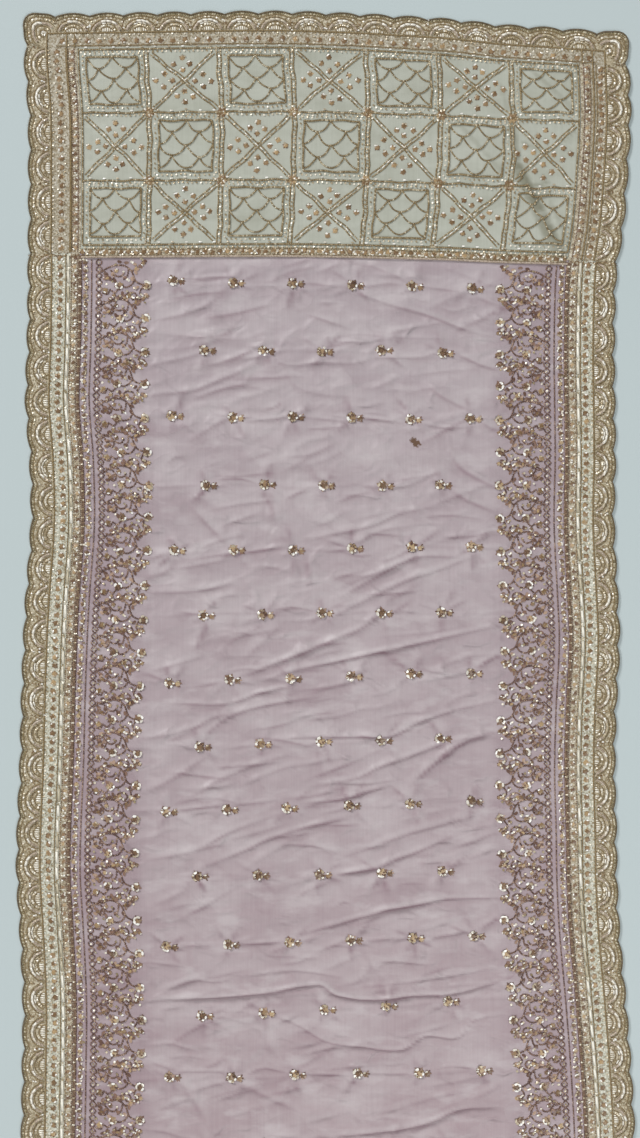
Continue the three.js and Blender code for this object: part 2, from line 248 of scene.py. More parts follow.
def ridges(tree: Tree, size_mm: float, stretch: Size, detail: float) -> Socket:
    """Sharp crests that wander and branch, as crumpled cloth has, from 0 to about 2 high.

    Args:
        tree: The material's tree.
        size_mm: How far apart they lie.
        stretch: How much longer they are along each axis.
        detail: How many finer octaves they have.

    Returns:
        The socket with their height.
    """
    inputs = {"Vector": placed(tree, size_mm, stretch, 0.22), "Scale": 1.0, "Detail": detail,
              "Roughness": 0.4, "Distortion": 0.7}
    return add_node(tree, "ShaderNodeTexNoise", {"noise_type": "RIDGED_MULTIFRACTAL"}, inputs).outputs[0]


def threads(tree: Tree, spacing_mm: float) -> Socket:
    """The rise and fall of two sets of threads that cross.

    Args:
        tree: The material's tree.
        spacing_mm: The distance from one thread to the next.

    Returns:
        The socket with a height from 0 to 1.
    """
    parts = add_node(tree, "ShaderNodeSeparateXYZ", inputs={0: placed(tree, spacing_mm / math.tau)})
    down, across = (add_node(tree, "ShaderNodeMath", {"operation": "SINE"}, {0: parts.outputs[axis]})
                    for axis in (0, 1))
    both = add_node(tree, "ShaderNodeMath", {"operation": "ADD"}, {0: down.outputs[0], 1: across.outputs[0]})
    return add_node(tree, "ShaderNodeMath", {"operation": "MULTIPLY_ADD"},
                    {0: both.outputs[0], 1: 0.25, 2: 0.5}).outputs[0]


def tinted(tree: Tree, under: object, tint: int, pattern: Socket, source: tuple[float, float],
           share: tuple[float, float]) -> Socket:
    """Lay a colour over another where a pattern lies in a range.

    Args:
        tree: The material's tree.
        under: The colour beneath, or its socket.
        tint: The colour laid over it.
        pattern: The pattern's socket.
        source: The range that the pattern is read over, held at its ends.
        share: How much of the tint shows at each end of the range.

    Returns:
        The socket with the new colour.
    """
    spread = add_node(tree, "ShaderNodeMapRange", {"clamp": True}, {
        "Value": pattern, "From Min": source[0], "From Max": source[1], "To Min": share[0],
        "To Max": share[1]})
    return add_node(tree, "ShaderNodeMix", {"data_type": "RGBA"},
                    {0: spread.outputs[0], 6: under, 7: colour(tint)}).outputs[2]


def relief(tree: Tree, *layers: tuple[Socket, float, float]) -> Socket:
    """Bumps of a real depth, each on top of the one before.

    Args:
        tree: The material's tree.
        layers: For each, the socket with its height, its depth in millimetres and its strength.

    Returns:
        The socket with the normal.
    """
    normal: Inputs = {}
    for height, deep, strength in layers:
        inputs = {"Height": height, "Distance": deep * MM, "Strength": strength} | normal
        normal = {"Normal": add_node(tree, "ShaderNodeBump", inputs=inputs).outputs[0]}
    return normal["Normal"]


@dataclass(frozen=True)
class Finish:
    """A finish: its name and the numbers that every one of them sets on its shader."""

    name: str
    base: int
    roughness: float = 0.6
    metallic: float = 0.0
    specular: float = 0.5
    sheen: float = 0.0
    coat: float = 0.0

    def paint(self, tree: Tree) -> Inputs:
        """The shader's linked inputs. A plain finish links its colour alone."""
        return {"Base Color": colour(self.base)}

    def make(self) -> bpy.types.Material:
        """Build the material, once for each name.

        Returns:
            The material.
        """
        made = bpy.data.materials.get(self.name)
        if made is not None:
            return made
        made = bpy.data.materials.new(self.name)
        made.use_nodes = True
        tree = made.node_tree
        tree.nodes.clear()
        numbers = {
            "Roughness": self.roughness, "Metallic": self.metallic, "Specular IOR Level": self.specular,
            "Sheen Weight": self.sheen, "Sheen Roughness": 0.45, "Coat Weight": self.coat,
            "Coat Roughness": 0.12,
        }
        shader = add_node(tree, "ShaderNodeBsdfPrincipled", inputs=numbers | self.paint(tree))
        add_node(tree, "ShaderNodeOutputMaterial", inputs={"Surface": shader.outputs["BSDF"]})
        return made


@dataclass(frozen=True)
class Stain:
    """A small brown spot in the net."""

    x: float = 169.0
    down: float = 819.0
    long: float = 22.0
    wide: float = 13.0
    slant: float = -0.75
    tint: int = 0x5C3D1C

    def spread(self, tree: Tree) -> Socket:
        """How far out of the spot each point lies, with a ragged edge.

        Args:
            tree: The material's tree.

        Returns:
            The socket with the distance, counted in the spot's own half length and half width.
        """
        laid = add_node(tree, "ShaderNodeMapping", {"vector_type": "TEXTURE"}, {
            "Vector": add_node(tree, "ShaderNodeTexCoord").outputs["Object"],
            "Location": tuple(PLAN.place(self.x, self.down, 0)), "Rotation": (0, 0, self.slant),
            "Scale": (self.long / 2 * MM, self.wide / 2 * MM, 1)})
        far = add_node(tree, "ShaderNodeVectorMath", {"operation": "LENGTH"}, {0: laid.outputs[0]})
        return add_node(tree, "ShaderNodeMath", {"operation": "MULTIPLY_ADD"},
                        {0: noise(tree, 5.0, detail=3), 1: 2.2, 2: far.outputs["Value"]}).outputs[0]


@dataclass(frozen=True)
class NetFinish(Finish):
    """Fine nylon net over its own creases, where it lies double: soft, half sheer, with a dull sheen, and
    with painted shade and painted sheen in its colour.
    """

    crease: int = 0x7F616B
    pale: int = 0xCBC2C3
    rosy: int | None = None
    mesh_mm: float = 2.6  # about twice the real mesh, so that it shows
    patch_mm: float = 110.0
    crumple_mm: float = 70.0
    crumple_deep: float = 2.6
    fine_deep: float = 5.0
    facet_mm: float = 34.0
    facet_deep: float = 3.0
    stain: Stain | None = None

    def paint(self, tree: Tree) -> Inputs:
        """The net's colour with its creases, painted sheen and painted shade in patches, its stain, and its
        mesh.

        Args:
            tree: The material's tree.

        Returns:
            The shader's linked inputs.
        """
        large = ridges(tree, self.crumple_mm, (2.0, 0.8, 1), 2.0)
        small = ridges(tree, self.crumple_mm * 0.5, (1.25, 0.9, 1), 3.0)
        # The crease attribute: darker where the net lies double, with painted shade beside creases and
        # puckers and under the vine bands; below zero it is painted highlight on their lit sides.
        doubled_and_painted_light = add_node(tree, "ShaderNodeAttribute", {"attribute_name": "crease"}).outputs["Fac"]
        tilt, rim = (self.facets(tree).outputs[name] for name in ("Color", "Distance"))
        tone: object = colour(self.base)
        if self.rosy is not None:
            metres = add_node(tree, "ShaderNodeSeparateXYZ", inputs={0: placed(tree, 1000.0)})
            tone = tinted(tree, tone, self.rosy, metres.outputs[1], (0.6, 2.1), (1, 0))
        for tint, pattern, source, share in (
            # Painted sheen: pale patches where the net catches the light.
            (self.pale, noise(tree, self.patch_mm, (1.5, 0.8, 1), 4), (0.42, 0.66), (0, 0.4)),
            # Painted shade: soft darker patches.
            (self.crease, noise(tree, self.patch_mm * 0.8, (1.7, 0.7, 1), 3), (0.3, 0.48), (0.2, 0)),
            (self.crease, noise(tree, 3.2, (1, 60, 1), 1), (0.3, 0.7), (0, 0.1)),  # streaks along the threads
            (self.crease, doubled_and_painted_light, (0, 1), (0, 0.85)),  # darker where the net lies double in a crease, with painted shade beside it
            # Painted highlight on the lit side of creases and puckers.
            (self.pale, doubled_and_painted_light, (-1, 0), (0.7, 0)),
            # Painted highlight on the crests of the fine crumple.
            (self.pale, small, (0.75, 1.45), (0, 0.28)),
            # Painted sheen: pale patches along the crumple.
            (self.pale, noise(tree, self.crumple_mm * 0.6, (1.9, 0.8, 1), 5), (0.53, 0.68), (0, 0.38)),
            # Painted light: some cells paler, as if tilted to the light.
            (self.pale, tilt, (0.5, 1.0), (0, 0.13)),
            # Painted shade at the cells' rims.
            (self.crease, rim, (0.35, 0.8), (0, 0.08)),
        ):
            tone = tinted(tree, tone, tint, pattern, source, share)
        if self.stain is not None:
            tone = tinted(tree, tone, self.stain.tint, self.stain.spread(tree), (1.9, 2.25), (0.92, 0))
        normal = relief(tree, (large, self.crumple_deep, 1.0), (small, self.fine_deep, 1.0),
                        (rim, self.facet_deep, 1.0), (threads(tree, self.mesh_mm), 0.12, 0.5))
        return {"Base Color": tone, "Normal": normal}

    def facets(self, tree: Tree) -> bpy.types.Node:
        """Uneven cells, as net has once it has been crushed, whose own colour is used to paint light as if
        each lay at its own tilt.

        Args:
            tree: The material's tree.

        Returns:
            The node with each cell's own colour and the distance from its middle.
        """
        place = add_node(tree, "ShaderNodeTexCoord").outputs["Object"]
        wander = add_node(tree, "ShaderNodeTexNoise",
                          inputs={"Vector": place, "Scale": 1 / (40 * MM), "Detail": 2.0})
        shift = add_node(tree, "ShaderNodeVectorMath", {"operation": "MULTIPLY_ADD"},
                         {0: wander.outputs[1], 1: (0.05, 0.03, 0), 2: place})
        scale = (1 / (self.facet_mm * 1.7 * MM), 1 / (self.facet_mm * MM), 1)
        laid = add_node(tree, "ShaderNodeMapping",
                        inputs={"Vector": shift.outputs[0], "Scale": scale, "Rotation": (0, 0, 0.25)})
        return add_node(tree, "ShaderNodeTexVoronoi", {"voronoi_dimensions": "2D"},
                        {"Vector": laid.outputs[0], "Scale": 1.0})


@dataclass(frozen=True)
class StitchedFinish(Finish):
    """Ground cloth packed with satin stitches, which catch the light in short lines."""

    dark: int = 0x6C5F48
    pale: int = 0xC4BCAA
    stitch_mm: float = 3.4  # coarser than the real stitches, so that they show

    def paint(self, tree: Tree) -> Inputs:
        """Mottled colour and a stitched relief.

        Args:
            tree: The material's tree.

        Returns:
            The shader's linked inputs.
        """
        grain = noise(tree, self.stitch_mm, detail=3)
        tone = tinted(tree, colour(self.base), self.dark, grain, (0.37, 0.49), (0.95, 0))
        tone = tinted(tree, tone, self.pale, grain, (0.52, 0.62), (0, 0.9))
        return {"Base Color": tone, "Normal": relief(tree, (grain, 1.6, 1.0))}


@dataclass(frozen=True)
class BitFinish(Finish):
    """Beads, sequins and ribbon: each one is a little lighter or darker than the next, with painted shade on
    those turned from the light and painted glints on those that flash.
    """

    dark: int = 0x6B5636
    pale: int = 0xFFFFFF
    dull: float = 0.35  # share of the bits that lie turned from the light
    bright: float = 0.3  # share of them that flash

    def paint(self, tree: Tree) -> Inputs:
        """A colour that steps from bit to bit: painted shade and painted glints.

        Args:
            tree: The material's tree.

        Returns:
            The shader's linked inputs.
        """
        shade = add_node(tree, "ShaderNodeAttribute", {"attribute_name": "shade"}).outputs["Fac"]
        dull, flash = ((at - 0.05, at + 0.05) for at in (self.dull, 1 - self.bright))
        tone = tinted(tree, colour(self.base), self.dark, shade, dull, (1, 0))
        return {"Base Color": tinted(tree, tone, self.pale, shade, flash, (0, 1))}


@dataclass(frozen=True)
class CordFinish(Finish):
    """Metal thread couched down: a fine twist across its length."""

    dark: int = 0x4A3A26
    twist_mm: float = 3.0  # coarser than the real twist, so that it shows

    def paint(self, tree: Tree) -> Inputs:
        """Light and dark along the twist.

        Args:
            tree: The material's tree.

        Returns:
            The shader's linked inputs.
        """
        twist = noise(tree, self.twist_mm, detail=2)
        tone = tinted(tree, colour(self.base), self.dark, twist, (0.4, 0.6), (0.8, 0))
        return {"Base Color": tone, "Normal": relief(tree, (twist, 0.5, 0.6))}


# Knitted nylon net: soft and half sheer, darker where it lies double, with painted shade in soft patches and
# beside its creases, and a pale haze of painted sheen.
MAUVE_NET = NetFinish("mauve nylon net", 0xB2A5A9, roughness=0.5, sheen=0.25, stain=Stain(), rosy=0xAA979B)
# A closer, starched net: flatter and greyer, with almost no crumple.
CREAM_NET = NetFinish("cream pallu net", 0xB4B6A9, roughness=0.5, sheen=0.2, crease=0x77745F, pale=0xC2C4B9,
                      mesh_mm=2.4, crumple_mm=50.0, crumple_deep=1.4, fine_deep=0.7, facet_deep=0.4)
# Satin stitch in metal and silk thread: short glints over a brown ground.
SCALLOP_GROUND = StitchedFinish("satin stitched scallop ground", 0xAD9F82, roughness=0.5, sheen=0.1,
                                dark=0x837457, pale=0xD1C9B3)
# Woven cream strip: the palest of the lace, matt and lightly mottled.
CREAM_STRIP = StitchedFinish("cream lace strip", 0xC5C3B1, roughness=0.55, sheen=0.1, dark=0x988D73,
                             pale=0xE2E1D4)
# The same strip round the pallu, closer worked and greyer.
PALLU_STRIP = StitchedFinish("grey cream lace strip", 0xADA38D, roughness=0.55, sheen=0.1, dark=0x857458,
                             pale=0xC8C2B4)
# Cloth under close beads: brown in the gaps, bright where a bead's foot shows.
BEADED_STRIP = StitchedFinish("bronze beaded strip", 0xB0A48B, roughness=0.45, dark=0x836F55, pale=0xD9D2C1)
# Zari, metal foil wound on thread: bronze with a soft glint along its twist.
ZARI = CordFinish("bronze zari thread", 0x9C8761, roughness=0.42, metallic=0.1, dark=0x6C583A)
# Dark metal cord: duller, and brown in its twist.
DARK_CORD = CordFinish("dark bronze edging cord", 0x967B64, roughness=0.55, metallic=0.1, dark=0x5E4839)
# Satin cord: smooth and pale, with the light running along it.
SATIN = CordFinish("rose cream satin cord", 0xC4B3A2, roughness=0.35, sheen=0.2, dark=0x8F7C66)
# Old gold cord round the scallops: olive and dull, so that it draws their edge.
OLIVE = CordFinish("olive gold edge cord", 0x75664A, roughness=0.5, metallic=0.1, dark=0x4B3E2E)
# Cupped plastic sequins: some flash and the rest stay champagne.
SEQUIN = BitFinish("champagne sequin", 0xCDBFA4, roughness=0.3, metallic=0.2, dark=0xA08E6E, pale=0xF3EAD8)
# Larger lacquered sequins: nearly white, the brightest points on the net.
PEARL = BitFinish("white sequin petal", 0xE6E0D4, roughness=0.25, metallic=0.1, dark=0xB7A88F, pale=0xFCF9F2,
                  dull=0.3, bright=0.35)
# Glass tubes lined with silver: long white glints.
BUGLE = BitFinish("silver lined bugle bead", 0xEAE1CF, roughness=0.3, coat=0.3, dark=0xC2B394, pale=0xFFFAEE,
                  dull=0.25, bright=0.5)
# Flat woven metal ribbon: broad, even and white.
GOTA = BitFinish("gota ribbon", 0xE9E2D0, roughness=0.4, dark=0xCBC0A6, pale=0xFFFAEC, bright=0.45)
# Pressed glass seed beads: small round glints in brown, amber, old gold and bronze.
AMBER = BitFinish("amber seed bead", 0x967B59, roughness=0.4, coat=0.1, dark=0x7B6041, pale=0xB0946C,
                  bright=0.2)
GOLD_BEAD = BitFinish("old gold seed bead", 0x957A5C, roughness=0.4, coat=0.2, dark=0x745A42, pale=0xB99F7B,
                      bright=0.25)
BROWN_BEAD = BitFinish("bronze seed bead", 0x866859, roughness=0.4, coat=0.2, dark=0x684C40, pale=0xB09480,
                       bright=0.2)
# Cut beads: their small flats glitter along each line of the pallu.
LADDER_BEAD = BitFinish("bronze cut bead", 0xA08D69, roughness=0.35, coat=0.3, metallic=0.1, dark=0x857250,
                        pale=0xD6CAAE, bright=0.16)
# Slanting stitches of old gold thread: olive, with every third one lit.
OLIVE_BEAD = BitFinish("olive gold stitch", 0x94865F, roughness=0.45, dark=0x786B49, pale=0xDCD2B6,
                       bright=0.36)
# The lay of the twin cord: dark bronze, with painted shade on some of its turns and a painted highlight on
# others.
CORD_BEAD = BitFinish("dark bronze cord bead", 0x927766, roughness=0.4, coat=0.2, dark=0x6D5546,
                      pale=0xBDA48C, bright=0.2)


# ---- small things, sewn on by geometry nodes --------------------------------------------


class Shape(Enum):
    """The shapes of the small things, one millimetre in size."""

    DISC = "disc"
    BEAD = "bead"
    ROD = "rod"
    ROSETTE = "rosette"


class Bit(Enum):
    """What is sewn on: its shape, its finish and how far it tips, in radians."""

    SEQUIN = (Shape.DISC, SEQUIN, 0.5)
    PETAL = (Shape.DISC, PEARL, 0.25)
    LEAF = (Shape.DISC, BROWN_BEAD, 0.2)
    AMBER_LEAF = (Shape.DISC, AMBER, 0.2)
    BUGLE = (Shape.ROD, BUGLE, 0.1)
    GOTA = (Shape.ROD, GOTA, 0.03)
    DARK_BLOOM = (Shape.ROSETTE, BROWN_BEAD, 0.1)
    GOLD_BLOOM = (Shape.ROSETTE, GOLD_BEAD, 0.15)
    AMBER_BLOOM = (Shape.ROSETTE, AMBER, 0.15)
    AMBER = (Shape.BEAD, AMBER, 0.3)
    GOLD = (Shape.BEAD, GOLD_BEAD, 0.3)
    BROWN = (Shape.BEAD, BROWN_BEAD, 0.3)
    LADDER = (Shape.BEAD, LADDER_BEAD, 0.2)
    TWIST = (Shape.BEAD, CORD_BEAD, 0.1)
    OLIVE = (Shape.BEAD, OLIVE_BEAD, 0.1)


class Thread(Enum):
    """What is couched down in a line: its finish, its radius in millimetres and its sides."""

    BRONZE = (ZARI, 1.0, 4)
    HEAVY = (ZARI, 1.5, 4)
    DARK = (DARK_CORD, 1.3, 4)
    SATIN = (SATIN, 2.1, 5)
    EDGE = (OLIVE, 1.6, 5)


def in_scene(name: str, data: bpy.types.ID) -> Piece:
    """Put a new object in the scene.

    Args:
        name: Its name.
        data: Its mesh, light or camera.

    Returns:
        The object.
    """
    made = bpy.data.objects.new(name, data)
    bpy.context.scene.collection.objects.link(made)
    return made


def new_tree(name: str, sizes: dict[str, float]) -> tuple[Tree, dict[str, str]]:
    """Start a geometry node tree with its named inputs.

    Args:
        name: The tree's name.
        sizes: A number input for each named size, with its usual value.

    Returns:
        The tree, and the identifier of each input's socket.
    """
    tree = bpy.data.node_groups.new(name, "GeometryNodeTree")
    tree.interface.new_socket("Geometry", in_out="INPUT", socket_type="NodeSocketGeometry")
    tree.interface.new_socket("Geometry", in_out="OUTPUT", socket_type="NodeSocketGeometry")
    names = {}
    for label, value in sizes.items():
        socket = tree.interface.new_socket(label, in_out="INPUT", socket_type="NodeSocketFloat")
        socket.default_value = value
        names[label] = socket.identifier
    finish = tree.interface.new_socket("Finish", in_out="INPUT", socket_type="NodeSocketMaterial")
    names["Finish"] = finish.identifier
    return tree, names


def finish_off(tree: Tree, start: bpy.types.Node, made: Socket) -> None:
    """Make what a tree has laid out real and smooth, and give it its finish.

    Args:
        tree: The tree.
        start: The node with its inputs.
        made: The socket with what it has laid out.
    """
    painted = {"Material": start.outputs["Finish"]}
    for kind, inputs in (("RealizeInstances", {}), ("SetShadeSmooth", {}), ("SetMaterial", painted)):
        made = add_node(tree, f"GeometryNode{kind}", inputs={"Geometry": made} | inputs).outputs[0]
    add_node(tree, "NodeGroupOutput", inputs={0: made})


def shape_node(tree: Tree, shape: Shape) -> Socket:
    """Make one small thing, a millimetre across, lying along x.

    Args:
        tree: The tree that sews it on.
        shape: Its shape.

    Returns:
        The socket with its mesh.
    """
    if shape is Shape.ROSETTE:
        return rosette(tree)
    kind, settings, inputs = {
        Shape.DISC: ("Cone", {"fill_type": "NONE"}, {
            "Vertices": 6, "Radius Top": 0.0, "Radius Bottom": 0.5 * MM, "Depth": 0.16 * MM}),
        Shape.BEAD: ("UVSphere", {}, {"Segments": 4, "Rings": 2, "Radius": 0.5 * MM}),
        Shape.ROD: ("Cylinder", {}, {"Vertices": 4, "Radius": 0.5 * MM, "Depth": 1.0 * MM}),
    }[shape]
    made = add_node(tree, f"GeometryNodeMesh{kind}", settings, inputs).outputs["Mesh"]
    if shape is Shape.ROD:
        laid = {"Geometry": made, "Rotation": (0, math.pi / 2, 0)}
        made = add_node(tree, "GeometryNodeTransform", inputs=laid).outputs[0]
    return made


def rosette(tree: Tree) -> Socket:
    """Make a five-petalled rosette, a millimetre across, raised at its middle.

    Args:
        tree: The tree that sews it on.

    Returns:
        The socket with its mesh, whose every other rim point is drawn in.
    """
    cone = add_node(tree, "GeometryNodeMeshCone", {"fill_type": "NONE"}, {
        "Vertices": 10, "Radius Top": 0.0, "Radius Bottom": 0.5 * MM, "Depth": 0.3 * MM})
    index = add_node(tree, "GeometryNodeInputIndex").outputs[0]
    odd = add_node(tree, "ShaderNodeMath", {"operation": "MODULO"}, {0: index, 1: 2.0}).outputs[0]
    pull = add_node(tree, "ShaderNodeMath", {"operation": "MULTIPLY_ADD"}, {0: odd, 1: -0.4, 2: 1.0})
    scale = add_node(tree, "ShaderNodeCombineXYZ",
                     inputs={0: pull.outputs[0], 1: pull.outputs[0], 2: 1.0}).outputs[0]
    place = add_node(tree, "GeometryNodeInputPosition").outputs[0]
    moved = add_node(tree, "ShaderNodeVectorMath", {"operation": "MULTIPLY"}, {0: place, 1: scale}).outputs[0]
    return add_node(tree, "GeometryNodeSetPosition",
                    inputs={"Geometry": cone.outputs["Mesh"], "Position": moved}).outputs[0]


def sewing_tree(shape: Shape) -> tuple[Tree, dict[str, str]]:
    """The tree that sews one small thing on at each point, turned and sized by the point.

    Args:
        shape: The small thing's shape.

    Returns:
        The tree, and the identifier of each input's socket.
    """
    tree, names = new_tree(f"sew_{shape.value}", {"Tip": 0.2, "Seed": SEED})
    start = add_node(tree, "NodeGroupInput")
    turn, size = (
        add_node(tree, "GeometryNodeInputNamedAttribute", {"data_type": "FLOAT_VECTOR"}, {"Name": name})
        for name in ("turn", "size"))
    tips = add_node(tree, "FunctionNodeRandomValue", {"data_type": "FLOAT_VECTOR"}, {
        0: (-1, -1, 0), 1: (1, 1, 0), "Seed": start.outputs["Seed"]})
    tipped = add_node(tree, "ShaderNodeVectorMath", {"operation": "SCALE"},
                      {0: tips.outputs[0], "Scale": start.outputs["Tip"]})
    turned = add_node(tree, "ShaderNodeVectorMath", {"operation": "ADD"},
                      {0: tipped.outputs[0], 1: turn.outputs[0]})
    rotation = add_node(tree, "FunctionNodeEulerToRotation", inputs={0: turned.outputs[0]})
    sewn = add_node(tree, "GeometryNodeInstanceOnPoints", inputs={
        "Points": start.outputs["Geometry"], "Instance": shape_node(tree, shape),
        "Rotation": rotation.outputs[0], "Scale": size.outputs[0]})
    shade = add_node(tree, "FunctionNodeRandomValue", {"data_type": "FLOAT"}, {"Seed": start.outputs["Seed"]})
    shaded = add_node(tree, "GeometryNodeStoreNamedAttribute", {"data_type": "FLOAT", "domain": "INSTANCE"}, {
        "Geometry": sewn.outputs[0], "Name": "shade", "Value": shade.outputs[1]})
    finish_off(tree, start, shaded.outputs[0])
    return tree, names


def couching_tree(sides: int) -> tuple[Tree, dict[str, str]]:
    """The tree that lays a round thread along every line of the mesh.

    Args:
        sides: How many sides the thread has.

    Returns:
        The tree, and the identifier of each input's socket.
    """
    tree, names = new_tree(f"couch_{sides}", {"Radius": MM})
    start = add_node(tree, "NodeGroupInput")
    lines = add_node(tree, "GeometryNodeMeshToCurve", inputs={"Mesh": start.outputs["Geometry"]})
    ring = add_node(tree, "GeometryNodeCurvePrimitiveCircle",
                    inputs={"Resolution": sides, "Radius": start.outputs["Radius"]})
    tube = add_node(tree, "GeometryNodeCurveToMesh", inputs={
        "Curve": lines.outputs[0], "Profile Curve": ring.outputs[0], "Fill Caps": True})
    finish_off(tree, start, tube.outputs[0])
    return tree, names


@cache
def tree_for(kind: Shape | int) -> tuple[Tree, dict[str, str]]:
    """The tree for a small thing's shape, or for a thread of so many sides, made once."""
    return sewing_tree(kind) if isinstance(kind, Shape) else couching_tree(kind)


def worked(kind: Shape | int, source: bpy.types.Mesh, inputs: dict[str, object]) -> Piece:
    """Run a tree on a mesh and keep what it makes as a plain mesh.

    Args:
        kind: Which tree to run: a shape's, or that of a thread's number of sides.
        source: The mesh of points or lines.
        inputs: The value of each named input.

    Returns:
        The new object.
    """
    tree, names = tree_for(kind)
    holder = in_scene("sewing", source)
    modifier = holder.modifiers.new("sew", "NODES")
    modifier.node_group = tree
    for label, value in inputs.items():
        modifier[names[label]] = value
    graph = bpy.context.evaluated_depsgraph_get()
    made = bpy.data.meshes.new_from_object(holder.evaluated_get(graph), depsgraph=graph)
    bpy.data.objects.remove(holder)
    bpy.data.meshes.remove(source)
    return in_scene("sewn", made)


def around(x: Array | float, down: Array | float, reach: float, heading: Array) -> Line:
    """The places that lie so far from others, each on its own heading."""
    return x + reach * np.cos(heading), down - reach * np.sin(heading)


class Handiwork:
    """Bits and threads laid out on a piece of cloth, in millimetres, until they are sewn down.

    A subclass is one sub-assembly. It says how high its cloth lies and what is laid on it.
    """

    def begin(self, seed: int) -> None:
        """Start with nothing laid, and with random numbers of its own.

        Args:
            seed: What they start from.
        """
        self.chance = np.random.default_rng(seed)
        self.bits: dict[Bit, list[Array]] = defaultdict(list)
        self.couched: dict[Thread, list[Array]] = defaultdict(list)

    def surface(self, x: Array, down: Array) -> Array:
        """How high the cloth's face lies at each place."""
        raise NotImplementedError

    def drift(self, x: Array, down: Array) -> Line:
        """Where a stitch meant for a place ends up: there, unless a subclass says otherwise."""
        return x, down

    def lay(self, bit: Bit, x: Array | float, down: Array | float, size: Size,
            heading: Array | float = 0.0, lift: float | None = None) -> None:
        """Lay one kind of bit.

        Args:
            bit: What is laid.
            x: Across the cloth, one for each.
            down: Down the cloth.
            size: Its length along its heading, width and height.
            heading: The way that it points in the plan, in radians.
            lift: How high its middle lies over the cloth, or None to rest on it.
        """
        x, down, heading = np.broadcast_arrays(np.atleast_1d(np.asarray(x, float)), down, heading)
        x, down = self.drift(x, down)
        z = self.surface(x, down) + (size[2] * 0.35 if lift is None else lift)
        sizes = np.broadcast_to(np.array(size, float), (len(x), 3))
        self.bits[bit].append(np.column_stack([PLAN.place(x, down, z), heading, sizes]))

    def rod(self, bit: Bit, start: Line, end: Line, width: float, high: float) -> None:
        """Lay a straight bit from one place to another.

        Args:
            bit: What is laid.
            start: Where it starts.
            end: Where it ends.
            width: Its width.
            high: Its height.
        """
        run, drop = float(end[0] - start[0]), float(end[1] - start[1])
        self.lay(bit, (start[0] + end[0]) / 2, (start[1] + end[1]) / 2, (math.hypot(run, drop), width, high),
                 math.atan2(-drop, run))

    def beads(self, bit: Bit, line: Line, pitch: float, size: Size, slant: float = 0.0,
              lift: float | None = None) -> None:
        """Lay bits along a line at an even pitch, each turned along it and slanted.

        Args:
            bit: What is laid.
            line: The points of the line.
            pitch: The distance between two of them.
            size: Length along its heading, width and height.
            slant: How far each one turns from the line, in radians.
            lift: How high its middle lies over the cloth, or None to rest on it.
        """
        (x, down), heading = spaced(line, pitch)
        self.lay(bit, x, down, size, heading + slant, lift)

    def couch(self, thread: Thread, line: Line) -> None:
        """Lay a thread along a line of points."""
        x, down = self.drift(*(np.asarray(part, float) for part in line))
        self.couched[thread].append(PLAN.place(x, down, self.surface(x, down) + thread.value[1] * 0.5))

    def flowers(self, x: Array | float, down: Array | float, radius: float, heart: Bit,
                petals: int = 2, toward: float | None = None) -> None:
        """Flowers: a dark rosette, a smaller one on it, and bright petals on top.

        Args:
            x: Their middles, across the cloth.
            down: Their middles, down the cloth.
            radius: Out to the dark petals' tips.
            heart: The smaller rosette.
            petals: How many bright petals each one has.
            toward: The heading of the first bright petal, or None for any.
        """
        x, down = np.broadcast_arrays(np.atleast_1d(np.asarray(x, float)), np.asarray(down, float))
        turn = self.chance.uniform(0, math.tau, len(x))
        under = Bit.DARK_BLOOM if heart is Bit.GOLD_BLOOM else Bit.GOLD_BLOOM
        self.lay(under, x, down, (2.4 * radius, 2.4 * radius, 4.0), turn, 0.0)
        self.lay(heart, x, down, (1.9 * radius, 1.9 * radius, 6.0), turn + 0.6, 0.7)
        first = turn if toward is None else self.chance.normal(toward, 0.4, len(x))
        for k in range(petals):
            spin = first + k * 1.15 + self.chance.normal(0, 0.15, len(x))
            size = (0.9 * radius, 0.55 * radius, 6.0)
            self.lay(Bit.PETAL, *around(x, down, 0.66 * radius, spin), size, spin + math.pi / 2, 1.6)

    def sew(self, name: str) -> Piece:
        """Sew everything down.

        Args:
            name: The piece's name.

        Returns:
            One plain mesh object.
        """
        parts = [self.sewn_bits(bit, np.concatenate(rows)) for bit, rows in self.bits.items()]
        parts += [self.sewn_threads(thread, rows) for thread, rows in self.couched.items()]
        with bpy.context.temp_override(active_object=parts[0], selected_objects=parts,
                                       selected_editable_objects=parts):
            bpy.ops.object.join()
        parts[0].name = parts[0].data.name = name
        return parts[0]

    @staticmethod
    def sewn_bits(bit: Bit, rows: Array) -> Piece:
        """Sew on all of one kind of bit.

        Args:
            bit: What is sewn on.
            rows: The place, heading and size of each.

        Returns:
            All of them as one object.
        """
        shape, finish, tip = bit.value
        mesh = bpy.data.meshes.new("points")
        mesh.vertices.add(len(rows))
        mesh.vertices.foreach_set("co", rows[:, :3].astype(np.float32).ravel())
        turns = rows[:, [3, 3, 3]] * (0, 0, 1)
        for label, values in (("turn", turns), ("size", rows[:, 4:])):
            made = mesh.attributes.new(label, "FLOAT_VECTOR", "POINT")
            made.data.foreach_set("vector", values.astype(np.float32).ravel())
        seed = float(SEED + list(Bit).index(bit))
        return worked(shape, mesh, {"Tip": tip, "Seed": seed, "Finish": finish.make()})

    @staticmethod
    def sewn_threads(thread: Thread, rows: list[Array]) -> Piece:
        """Couch all threads of one kind down.

        Args:
            thread: The kind.
            rows: The points of each line.

        Returns:
            All of them as one object.
        """
        finish, radius, sides = thread.value
        starts = np.cumsum([0] + [len(row) for row in rows])
        edges = [(i, i + 1) for a, b in zip(starts[:-1], starts[1:]) for i in range(a, b - 1)]
        mesh = bpy.data.meshes.new("lines")
        mesh.from_pydata(np.concatenate(rows).tolist(), edges, [])
        return worked(sides, mesh, {"Radius": radius * MM, "Finish": finish.make()})


